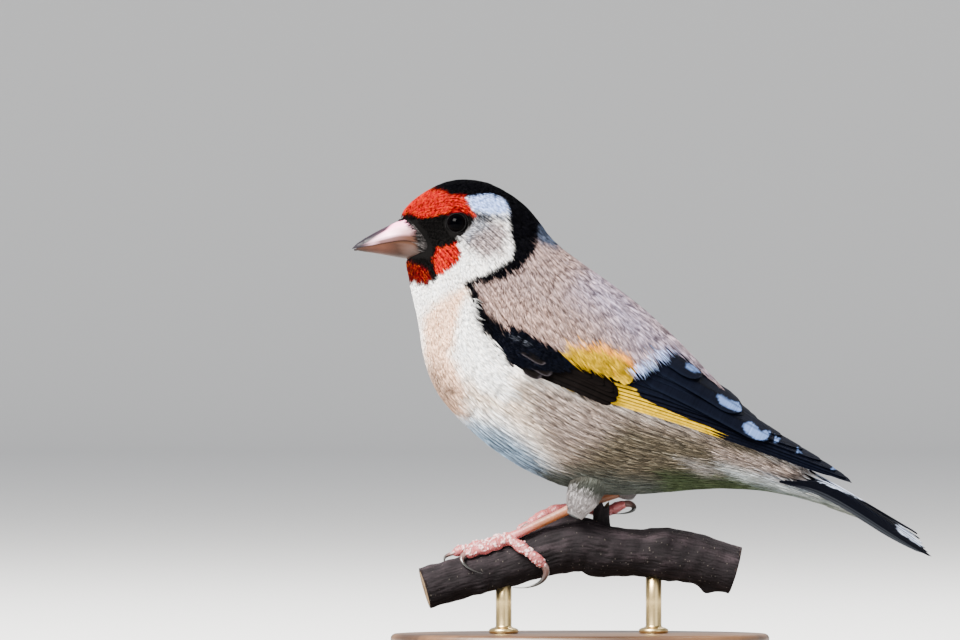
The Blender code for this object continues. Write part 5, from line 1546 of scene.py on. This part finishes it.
def on_perch(x, turn, lift):
    """Points over the bark, turned from its top towards the bird's left, and which way is out."""
    x, turn, lift = np.broadcast_arrays(*(np.asarray(v, float) for v in (x, turn, lift)))
    middle, radius, _, up, left = perch_frame(x)
    for knot_x, knot_turn, reach, height in KNOTS:
        around = np.radians((turn - knot_turn + 180) % 360 - 180) * radius
        radius = radius + height * np.exp(-((x - knot_x) ** 2 + around**2) / reach**2)
    a = np.radians(turn)
    radius = radius + 0.1 * np.sin(1.3 * x + 3 * a) * np.cos(0.7 * x - 2 * a)
    out = spokes_at(a, up, left)
    return middle + (radius + lift)[..., None] * out, out


def wave_field(seed, count, long, around, sharp=1.0):
    """A smooth seeded pattern over a tube, by its length and its turn, between -1 and 1."""
    rng = np.random.default_rng(seed)
    pace = rng.normal(0, 1 / long, count)
    turns = np.round(rng.uniform(around[0], around[1], count)) * rng.choice((-1, 1), count)
    phase = rng.uniform(0, 2 * math.pi, count)

    def field(x, a):
        total = np.zeros(np.broadcast(x, a).shape)
        for p, n, start in zip(pace, turns, phase):
            total += np.cos(p * x + n * a + start)
        total /= math.sqrt(count / 2) * 1.6
        return np.sign(total) * np.abs(np.clip(total, -1, 1)) ** sharp

    return field


bark_folds = wave_field(3, 30, 1.6, (2, 9))
bark_fibres = wave_field(4, 60, 1.1, (18, 70))
bark_cracks = wave_field(6, 30, 0.30, (1, 9))


def bark_relief(x, a):
    """How far the furrowed bark stands out, in mm, and how deep a place lies in a furrow."""
    folds, fibres, cracks = bark_folds(x, a), bark_fibres(x, a), bark_cracks(x, a)
    furrow = ease(-0.25, -0.9, fibres)
    crack = np.exp(-((cracks / 0.07) ** 2)) * ease(0.2, 0.7, folds)
    relief = 0.11 * folds + 0.040 * fibres - 0.03 * furrow - 0.06 * crack
    return relief, np.clip(0.7 * furrow + 0.6 * crack, 0, 1)


def bark_colour(x, a, relief, furrow, out_z):
    """Pale dusty ridges, furrows painted dark as shade, and painted light and shade: lighter on top,
    darker below.
    """
    high = ease(-0.16, 0.16, relief)
    dusty = ease(0.2, 0.9, bark_folds(x * 0.7 + 9, a)) * 0.5 + 0.25
    # painted shade in the furrows
    colour = mix(mix(BARK_MID, BARK_PALE, high * dusty), BARK_FURROW_SHADE, furrow * 0.8)
    # painted light and shade: lighter where the bark faces up, darker where it faces down
    return colour * (0.62 + 0.5 * ease(-0.4, 0.9, out_z)[..., None])


def sawn_end(x, sign):
    """Rings of a sawn end from the bark's edge to the pith, with their colours."""
    turn = np.arange(PERCH_AROUND) * 360 / PERCH_AROUND
    rings, colours = [], []
    edge, _ = on_perch(x, turn, 0.0)
    middle, _, along, _, _ = perch_frame(np.array(x, float))
    rng = np.random.default_rng(8)
    wobble = 1 + 0.02 * np.sin(np.radians(turn) * 3 + 1)
    for share in np.linspace(1, 0.02, 46):
        dish = 0.10 * (1 - share) - 0.35 * ease(0.96, 1.0, share)
        tooth = 0.02 * math.sin(share * 140) + rng.normal(0, 0.008)
        rings.append(middle + (edge - middle) * share + along * sign * (dish + tooth))
        year = 0.5 + 0.5 * np.sin(share * wobble * 34)
        wood = np.array(SAPWOOD) * (0.75 + 0.3 * year[:, None])
        wood = wood * (1 - ease(0.45, 0.2, share) * np.array(HEARTWOOD_LOSS))
        wood = wood * (1 - 0.7 * ease(0.10, 0.05, share))
        colours.append(mix(wood, INNER_BARK, ease(0.86, 0.90, share)))
    return rings, colours


# bark has a fine fibrous grain over its painted furrows, and a faint waxy shine
bark_finish, tree, shader, _ = make_finish(
    "bark_grain", BARK_MID, 0.8, {"Amount": 1.0, "Fine": 2600.0, "Coarse": 420.0},
    {"Specular IOR Level": 0.1},
)
add_relief(tree, shader, stretched_noise(tree, (900, 2200, 2200), 6.0), "Fac", 1.0, 0.00016)
places = np.linspace(PERCH_LINES[0][0], PERCH_LINES[-1][0], PERCH_STEPS)[:, None]
turns = (np.arange(PERCH_AROUND) * 360 / PERCH_AROUND)[None, :]
relief, furrow = bark_relief(places, np.radians(turns))
bark_points, bark_out = on_perch(places, turns, relief)
bark_paint = bark_colour(places, np.radians(turns), relief, furrow, bark_out[..., 2])
front_rings, front_paint = sawn_end(PERCH_LINES[0][0], -1)
back_rings, back_paint = sawn_end(PERCH_LINES[-1][0], 1)
points, faces = closed_rings(np.array(front_rings[::-1] + list(bark_points) + back_rings))
paint = np.concatenate([front_paint[::-1], bark_paint, back_paint]).reshape(-1, 3)
ends = np.stack([paint[0], paint[-1]])
paint = np.concatenate([paint, ends])[: len(points)]
bark = mesh_piece("perch_bark", points, faces, bark_finish, np.clip(paint, 0, 1))
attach(bark, "root")
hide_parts("perch")

# the broken side twig, with splintered wood at its top
height = np.linspace(0, 1, STUB_STEPS)[:, None]
a = full_turn(STUB_AROUND)[None, :]
stub_relief, stub_furrow = bark_relief(height * STUB_HEIGHT + 40, a)
foot, top = np.array(STUB_FOOT), np.array(STUB_TOP)
radius = STUB_RADIUS * np.interp(height, (0, 0.25, 0.5, 0.75, 1), (1.3, 1.15, 1.0, 0.95, 0.86))
radius = radius + 0.9 * np.exp(-height * STUB_HEIGHT / 0.9) + stub_relief * 0.8
spoke = spokes_at(a, np.array((1.0, 0, 0)), np.array((0, 1.0, 0)))
splinter = 0.5 * ease(0.93, 1.0, height) * (np.sin(3 * a + 1) + 0.6 * np.sin(7 * a))
rings = foot + (top - foot) * height[..., None] + spoke * radius[..., None]
rings = rings + np.array((0, 0, 1)) * splinter[..., None]
inner = [rings[-1] * s + (top + (0, 0, -0.9 * (1 - s))) * (1 - s) for s in (0.8, 0.55, 0.3, 0.1)]
points, faces = closed_rings(np.concatenate([rings, inner]))
paint = bark_colour(height, a, stub_relief, stub_furrow, np.zeros(stub_relief.shape))
wood = np.array(SAPWOOD) * np.random.default_rng(4).uniform(0.25, 0.6, (4, STUB_AROUND, 1))
paint = np.concatenate([paint, wood]).reshape(-1, 3)
paint = np.concatenate([paint, paint[:1], paint[-1:]])[: len(points)]
stub = mesh_piece("perch_stub", points, faces, bark_finish, np.clip(paint, 0, 1))
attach(stub, "root")


def make_pore_tree():
    """Pores of the bark: flat pale blisters scattered over the surface they grow on."""
    tree, given, out = new_group(
        "bark_pores", "GeometryNodeTree",
        (("Surface", "Geometry", None), ("Density", "Float", 40000.0), ("Size", "Float", 0.0002),
         ("Seed", "Int", 3), ("Finish", "Material", None)),
        ("Pores", "Geometry"),
    )
    spread = add_node(tree, "GeometryNodeDistributePointsOnFaces", distribute_method="RANDOM")
    pore = add_node(tree, "GeometryNodeMeshIcoSphere", {"Subdivisions": 2})
    size = add_node(
        tree, "FunctionNodeRandomValue", {0: (0.35, 0.6, 0.25), 1: (0.9, 1.7, 0.5)},
        data_type="FLOAT_VECTOR",
    )
    place = add_node(tree, "GeometryNodeInstanceOnPoints")
    real = add_node(tree, "GeometryNodeRealizeInstances")
    cover = add_node(tree, "GeometryNodeSetMaterial")
    wire(
        tree,
        (given, "Surface", spread, "Mesh"), (given, "Density", spread, "Density"),
        (given, "Seed", spread, "Seed"), (given, "Size", pore, "Radius"),
        (given, "Seed", size, "Seed"), (spread, "Points", place, "Points"),
        (spread, "Rotation", place, "Rotation"), (pore, "Mesh", place, "Instance"),
        (size, 0, place, "Scale"), (place, "Instances", real, "Geometry"),
        (real, "Geometry", cover, "Geometry"), (given, "Finish", cover, "Material"),
        (cover, "Geometry", out, "Pores"),
    )
    return tree


pore_skin = make_finish(
    "bark_pore", (0.05, 0.039, 0.027), 0.85,
    {"Color": (0.032, 0.026, 0.020, 1), "Amount": 1.5}, painted=False,
)[0]
pores = grown_from(
    make_pore_tree(),
    "bark_pores",
    {"Density": 260000.0, "Size": 0.11 * MM, "Seed": 3, "Finish": pore_skin},
    bark.data,
)
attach(pores, "root")

# The legs and feet: bare skin over bone, smooth and orange down the shank, fleshy pink and
# crusty on the toes, with scales across their upper side and soft pads beneath.
HEELS = {LEFT: (-0.9, -5.6, 30.2), RIGHT: (8.8, 7.7, 33.0)}
TARSUS_RADIUS = 0.84
TOE_RADIUS = 1.0
TOE_STEPS, TOE_AROUND = 60, 20
SKIN_GRAIN = 0.14  # size of the cells that join toes and shank into one skin
CLAW_STEPS, CLAW_AROUND = 60, 24
FOOT_PLACES = {LEFT: (-12.3, 24.0, 0.2), RIGHT: (-1.2, -14.0, 0.3)}
TOES = {  # x, turn from the perch's top in degrees, and lift, at each toe's middle and end
    LEFT: {
        "middle": ((-17.8, 6.0, 0.0), (-23.0, 3.0, 0.0)),
        "outer": ((-16.8, 28.0, 0.0), (-21.2, 32.0, 0.0)),
        "inner": ((-15.6, -14.0, 0.0), (-19.2, -44.0, 0.0)),
        "hind": ((-10.2, 70.0, 0.0), (-7.9, 116.0, 0.0)),
    },
    RIGHT: {
        "middle": ((-5.4, -20.0, 0.0), (-10.0, -18.0, 0.0)),
        "inner": ((-4.8, -4.0, 0.0), (-8.0, 4.0, 0.0)),
        "outer": ((-4.6, -44.0, 0.0), (-8.0, -62.0, 0.0)),
        "hind": ((3.4, -32.0, 2.4), (8.6, -24.0, 4.6)),
    },
}
CLAWS = {  # two places that the claw bends towards, the second being its tip
    LEFT: {
        "middle": ((-24.9, -22.0, 1.2), (-24.4, -46.0, 0.4)),
        "outer": ((-23.0, 64.0, 1.5), (-18.9, 92.0, 0.4)),
        "inner": ((-20.8, -72.0, 1.2), (-18.8, -94.0, 0.4)),
        "hind": ((-9.4, 154.0, 3.2), (-14.2, 150.0, 0.9)),
    },
    RIGHT: {
        "middle": ((-12.4, -24.0, 1.2), (-13.0, -46.0, 0.4)),
        "inner": ((-10.0, 10.0, 1.2), (-10.4, 26.0, 0.4)),
        "outer": ((-8.8, -90.0, 1.2), (-6.8, -110.0, 0.4)),
        "hind": ((12.2, -20.0, 3.4), (5.6, -24.0, 2.9)),
    },
}
SHANK_ORANGE = (0.14, 0.040, 0.009)
SHANK_HIGHLIGHT = (0.22, 0.105, 0.080)
TOE_PINK = (0.25, 0.058, 0.060)
TOE_CRUST = (0.44, 0.29, 0.29)
TOE_DEEP = (0.11, 0.020, 0.018)


def toe_path(side, toe, steps):
    """Points along a toe from the foot's middle to the claw's root."""
    start = np.array(FOOT_PLACES[side])
    middle, end = map(np.array, TOES[side][toe])
    t = np.linspace(0, 1, steps)[:, None]
    pull = 2 * middle - (start + end) / 2
    x, turn, lift = ((1 - t) ** 2 * start + 2 * t * (1 - t) * pull + t**2 * end).T
    return on_perch(x, turn, TOE_RADIUS + 0.05 + lift)[0]


def tube_rings(path, radii, around):
    """Rings round a path that don't twist."""
    ahead = unit(np.gradient(path, axis=0))
    first = unit(np.cross(ahead[0], (0.3, 0.2, 1.0)))
    spokes = []
    for direction in ahead:
        first = unit(first - direction * (first @ direction))
        spokes.append((first, np.cross(direction, first)))
    a = full_turn(around)
    return np.array([
        point + radius * spokes_at(a, one, two)
        for point, radius, (one, two) in zip(path, radii, spokes)
    ])


def gone_along(path):
    """How far each point of a path lies from its start, along it."""
    return np.concatenate([[0], np.cumsum(np.linalg.norm(np.diff(path, axis=0), axis=1))])


def round_ended(radii, path):
    """The same radii with both ends closed in a round."""
    gone = gone_along(path)
    near = np.minimum(gone, gone[-1] - gone)
    round_off = np.sqrt(np.clip(1 - (1 - np.minimum(near / radii, 1)) ** 2, 0.02, 1))
    return radii * round_off


def fuse(parts, grain):
    """One closed skin round overlapping closed parts: its points, normals and triangles."""
    mesh = bpy.data.meshes.new("parts")
    starts = np.cumsum([0] + [len(points) for points, _ in parts])
    points = np.concatenate([points for points, _ in parts])
    faces = np.concatenate([faces + start for (_, faces), start in zip(parts, starts)])
    mesh.from_pydata(points.tolist(), [], faces.tolist())
    holder = new_object("parts", mesh)
    shrink = holder.modifiers.new("fuse", "REMESH")
    shrink.mode = "VOXEL"
    shrink.voxel_size = grain
    smooth = holder.modifiers.new("smooth", "SMOOTH")
    smooth.factor, smooth.iterations = 0.5, 3
    made = applied_mesh(holder)
    bpy.data.objects.remove(holder)
    made.calc_loop_triangles()
    return (
        read_values(made.vertices, "co", 3),
        read_values(made.vertices, "normal", 3),
        read_values(made.loop_triangles, "vertices", 3, np.int32),
    )


def lumps(points, seed, size, count=40):
    """A smooth seeded pattern in space, between about -1 and 1."""
    rng = np.random.default_rng(seed)
    ways = unit(rng.normal(0, 1, (count, 3))) * rng.uniform(0.6, 1.4, (count, 1)) * 2 * math.pi / size
    phase = rng.uniform(0, 2 * math.pi, count)
    return np.cos(points @ ways.T + phase).sum(1) / math.sqrt(count / 2) / 1.5


# bare skin has light under its surface and a dry, finely creased top
foot_skin, tree, shader, _ = make_finish(
    "foot_skin", TOE_PINK, 0.48, {"Amount": 0.5, "Fine": 3000.0},
    {"Subsurface Weight": 0.25, "Subsurface Radius": (0.0012, 0.0004, 0.0002)},
)
place = add_node(tree, "ShaderNodeTexCoord")
cells = add_node(tree, "ShaderNodeTexVoronoi", {"Scale": 2600.0})
wire(tree, (place, "Object", cells, "Vector"))
add_relief(tree, shader, cells, "Distance", 0.35, 0.00008)
for side, word in SIDES:
    x, turn, lift = FOOT_PLACES[side]
    joint, joint_out = on_perch(x, turn, TOE_RADIUS + lift)
    heel = np.array(HEELS[side])
    up_leg = unit(heel - joint)
    shank = np.linspace(joint - up_leg * 0.3, heel + up_leg * 1.5, TOE_STEPS)
    t = np.linspace(0, 1, TOE_STEPS)
    shank_radii = TARSUS_RADIUS * (1.0 + 0.28 * ease(0.22, 0.0, t) + 0.14 * ease(0.7, 0.9, t))
    bones = [(shank, shank_radii, 0)]
    for number, toe in enumerate(TOES[side], 1):
        path = toe_path(side, toe, TOE_STEPS)
        joints = 2.5 if toe == "hind" else 3.5
        swell = 1 + 0.13 * np.cos(t * joints * 2 * math.pi)
        radii = TOE_RADIUS * swell * np.interp(t, (0, 0.6, 0.93, 1), (1.08, 1.0, 0.88, 0.74))
        bones.append((path, round_ended(radii, path), number))
    parts = [closed_rings(tube_rings(path, radii, TOE_AROUND)) for path, radii, _ in bones]
    knuckle = tube_rings(
        joint + np.linspace(-1.3, 1.3, 14)[:, None] * joint_out,
        1.3 * np.sqrt(np.clip(1 - np.linspace(-0.99, 0.99, 14) ** 2, 0.01, 1)),
        TOE_AROUND,
    )
    parts.append(closed_rings(knuckle))
    points, normals, faces = fuse(parts, SKIN_GRAIN)
    # every point knows the bone it lies on, how far along, and whether it faces up or down
    middles = np.concatenate([path for path, _, _ in bones])
    which = np.concatenate([np.full(len(path), number) for path, _, number in bones])
    along = np.concatenate([gone_along(path) for path, _, _ in bones])
    share = np.concatenate([t for _ in bones])
    nearest = np.empty(len(points), int)
    for start in range(0, len(points), 4000):
        block = points[start : start + 4000]
        gone = ((block[:, None] - middles[None]) ** 2).sum(-1)
        nearest[start : start + 4000] = gone.argmin(1)
    bone, gone, share = which[nearest], along[nearest], share[nearest]
    spoke = unit(points - middles[nearest])
    centre = perch_frame(points[:, 0])[0]
    outwards = unit(points - centre)
    top = np.einsum("ij,ij->i", spoke, outwards)
    toes = bone > 0
    phase = gone / np.where(toes, 0.92, 2.4) + 0.06 * lumps(points, 2, 1.5)
    groove = np.exp(-(((phase % 1.0) - 0.5) / 0.10) ** 2)
    plate = 0.5 - np.abs(phase % 1.0 - 0.5)
    upper = ease(-0.1, 0.35, top) * toes + 0.35 * (~toes)
    crust = 0.6 * lumps(points, 5 + side, 1.5) + 0.8 * lumps(points, 9, 0.62)
    crust = np.clip(crust - 0.1, 0, 1)
    crust = crust * toes * ease(0.0, 0.5, top) * (1.0 if side == LEFT else 0.4)
    pads = np.clip(lumps(points, 14, 0.5), 0, 1) * ease(0.0, -0.4, top) * toes
    move = upper * (0.05 * plate * 2 - 0.085 * groove) + 0.24 * crust + 0.05 * pads
    points = points + normals * move[:, None]
    # painted highlight: the shank is paler where it faces up
    leg = mix(SHANK_ORANGE, SHANK_HIGHLIGHT, ease(0.2, 0.9, normals[:, 2]) * 0.8)
    leg = mix(TOE_PINK, leg, ease(0.1, 0.5, share))
    skin_tone = np.array(TOE_PINK) * (1 + 0.10 * lumps(points, 21, 2.0)[:, None])
    skin_tone = mix(skin_tone, TOE_DEEP, groove * upper * 0.55)
    skin_tone = mix(skin_tone, TOE_CRUST, ease(0.1, 0.8, crust))
    paint = np.clip(np.where(toes[:, None], skin_tone, leg), 0, 1)
    foot = mesh_piece(f"shank_and_toes_{word}", points, faces, foot_skin, paint)
    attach(foot, "root")
    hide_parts(f"leg_{word}", f"foot_{word}")

# The claws: curved horn, pinkish where it leaves the toe and dark towards its sharp tip.
CLAW_ROOT, CLAW_TIP = (0.12, 0.062, 0.056), (0.009, 0.009, 0.008)
claw_finish = make_finish(
    "claw_sheath", (0.07, 0.06, 0.05), 0.28, {"Amount": 0.35}, {"Coat Weight": 0.3}
)[0]
for side, word in SIDES:
    for toe in TOES[side]:
        path = toe_path(side, toe, 30)
        ahead = unit(path[-1] - path[-2])
        start = path[-1] - ahead * 0.5
        lead = start + ahead * (1.9 if toe == "hind" else 1.4)
        bend, tip = (on_perch(*place)[0] for place in CLAWS[side][toe])
        t = np.linspace(0, 1, CLAW_STEPS)[:, None]
        s = 1 - t
        curve = s**3 * start + 3 * t * s**2 * lead + 3 * t**2 * s * bend + t**3 * tip
        t = t[:, 0]
        radii = (0.66 if toe == "hind" else 0.52) * (1 - 0.93 * t**1.35) * (1 - 0.10 * ease(0.2, 0, t))
        rings = tube_rings(curve, radii, CLAW_AROUND)
        # taller than it is wide, with a blunt keel along the outer curve
        bow = unit(np.gradient(np.gradient(curve, axis=0), axis=0) + 1e-9)
        offset = rings - curve[:, None]
        along_bow = np.einsum("ijk,ik->ij", offset, bow)[..., None] * bow[:, None]
        rings = curve[:, None] + along_bow * 1.12 + (offset - along_bow) * 0.84
        points, faces = closed_rings(rings)
        fade = np.repeat(t, CLAW_AROUND)
        fade = np.concatenate([fade, [0.0, 1.0]])[: len(points)]
        paint = mix(CLAW_ROOT, CLAW_TIP, ease(0.05, 0.62, fade))
        claw = mesh_piece(f"talon_{word}_{toe}", points, faces, claw_finish, paint)
        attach(claw, "root")
        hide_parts(f"claw_{word}_{toe}")

# The display stand: an oval foot of turned and waxed hardwood, and two brass rods that are let
# into it through small collars and hold the perch from below.
BASE_HALF_LENGTH = 36.0
BASE_HALF_WIDTH = 27.0
BASE_HEIGHT = 6.0
BASE_EDGE = 1.0
ROD_RADIUS = 1.5
BASE_AROUND, ROD_AROUND = 180, 64
ROD_PLACES = {"front": (-14.5, -0.8), "back": (14.0, 1.0)}


# waxed wood has bent rings of the grain, fine pores along it and a soft sheen
wood_finish, tree, shader, speck = make_finish(
    "waxed_wood", (0.20, 0.10, 0.05), 0.42, {"Amount": 0.4}, painted=False
)
tones = add_node(tree, "ShaderNodeValToRGB")
for stop, position, tone in zip(
    tones.color_ramp.elements, (0.35, 0.65), ((0.028, 0.012, 0.005, 1), (0.095, 0.045, 0.019, 1))
):
    stop.position, stop.color = position, tone
rings = stretched_noise(tree, (14, 190, 60), 5.0, 0.4)
wire(tree, (rings, "Fac", tones, "Fac"), (tones, "Color", speck, "Color"))
add_relief(tree, shader, stretched_noise(tree, (120, 2400, 900), 3.0), "Fac", 0.25, 0.0001)
# brushed brass has fine rings of polish and a little tarnish
brass_finish, tree, shader, _ = make_finish(
    "brushed_brass", (0.55, 0.41, 0.20), 0.3, {"Color": (0.53, 0.39, 0.18, 1), "Amount": 0.3},
    {"Metallic": 1.0}, painted=False,
)
add_relief(tree, shader, stretched_noise(tree, (60, 60, 5200), 4.0), "Fac", 0.2, 0.00003)
a = full_turn(BASE_AROUND)[None, :]
profile = [(30.0, 0.05), (1.2, 0.0), (0.35, 0.12), (0.0, 0.6), (0.0, 1.4), (0.22, 1.62), (0.22, 1.8)]
profile += [(0.0, 2.05), (0.0, BASE_HEIGHT - BASE_EDGE)]
for k in range(1, 9):
    bend = k / 8 * math.pi / 2
    profile.append(
        (BASE_EDGE * (1 - math.cos(bend)), BASE_HEIGHT - BASE_EDGE * (1 - math.sin(bend)))
    )
profile += [(2.2, BASE_HEIGHT), (12.0, BASE_HEIGHT), (26.6, BASE_HEIGHT)]
inset, height = (np.array(v)[:, None] for v in zip(*profile))
reach_x = np.maximum(BASE_HALF_LENGTH - inset, 0.3)
reach_y = np.maximum(BASE_HALF_WIDTH - inset, 0.3)
rings = np.stack(
    np.broadcast_arrays(reach_x * np.cos(a), reach_y * np.sin(a), height + 0 * a), -1
)
points, faces = closed_rings(rings)
wooden_foot = mesh_piece("turned_base", points, faces, wood_finish)
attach(wooden_foot, "root")
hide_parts("stand_base")
for word, (x, y) in ROD_PLACES.items():
    end = perch_frame(np.array(x))[0][2] - 1.5
    outline = (
        (0.3, 6.02), (2.5, 6.02), (2.75, 6.15), (2.85, 6.45), (2.75, 6.8), (2.3, 7.05),
        (1.85, 7.15), (ROD_RADIUS + 0.08, 7.3), (ROD_RADIUS, 7.5), (ROD_RADIUS, 12.0),
        (ROD_RADIUS, end), (0.3, end + 0.05),
    )
    radius, height = (np.array(v)[:, None] for v in zip(*outline))
    turn = full_turn(ROD_AROUND)[None, :]
    rings = np.stack(
        np.broadcast_arrays(x + radius * np.cos(turn), y + radius * np.sin(turn), height), -1
    )
    points, faces = closed_rings(rings)
    rod = mesh_piece(f"brass_rod_{word}", points, faces, brass_finish)
    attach(rod, "root")
    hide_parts(f"stand_rod_{word}")

# The stage: a wide pale bowl of card, so that any side has the same plain floor and background,
# with soft boxes and a long lens level with the bird.
FRAME_WIDTH = 0.1824
CAMERA_AWAY = 2.6
pale_card = new_material("pale_card", (0.60, 0.60, 0.595), 0.9)[0]
profile = [(0.0, 0.0), (0.4, 0.0), (1.5, 0.0), (4.2, 0.0)]
for i in range(1, 13):
    a = i / 12 * math.pi / 2
    profile.append((4.2 + 0.7 * math.sin(a), 0.7 - 0.7 * math.cos(a)))
card = bpy.data.meshes.new("sweep")
turns = 48
card_points = []
for radius, height in profile:
    for k in range(turns):
        a = k / turns * 2 * math.pi
        card_points.append((radius * math.cos(a), radius * math.sin(a), height))
card_faces = []
for i in range(len(profile) - 1):
    for k in range(turns):
        a, b = i * turns + k, i * turns + (k + 1) % turns
        card_faces.append((a, a + turns, b + turns, b))
card.from_pydata(card_points, [], card_faces)
card.materials.append(pale_card)
card.shade_smooth()
floor = new_object("sweep", card)


def soft_box(name, place, aim, size, watts, colour=(1, 1, 1)):
    lamp = bpy.data.lights.new(name, "AREA")
    lamp.shape = "RECTANGLE"
    lamp.size, lamp.size_y = size
    lamp.energy = watts
    lamp.color = colour
    made = new_object(name, lamp)
    made.location = place
    turned = Vector(aim) - Vector(place)
    made.rotation_euler = turned.to_track_quat("-Z", "Y").to_euler()


soft_box("key_light", (-0.70, -0.85, 1.15), (0, 0, 0.06), (0.8, 0.7), 200.0, (1.0, 0.97, 0.92))
soft_box("fill_light", (0.9, -1.1, 0.35), (0, 0, 0.05), (0.9, 0.9), 5.0, (0.93, 0.96, 1.0))
soft_box("back_light", (0.25, 0.45, 0.85), (0, 0, 0.07), (0.5, 0.3), 12.0)
world = bpy.data.worlds.new("soft_room")
world.use_nodes = True
world.node_tree.nodes["Background"].inputs["Color"].default_value = (0.93, 0.95, 1.0, 1)
world.node_tree.nodes["Background"].inputs["Strength"].default_value = 0.85
bpy.context.scene.world = world

lens = bpy.data.cameras.new("camera")
lens.sensor_width = 36.0
lens.lens = 36.0 * CAMERA_AWAY / FRAME_WIDTH
lens.clip_end = 20
camera = new_object("camera", lens)
camera.location = (-0.0190, -CAMERA_AWAY, 0.06555)
camera.rotation_euler = (math.pi / 2, 0, 0)
bpy.context.scene.camera = camera

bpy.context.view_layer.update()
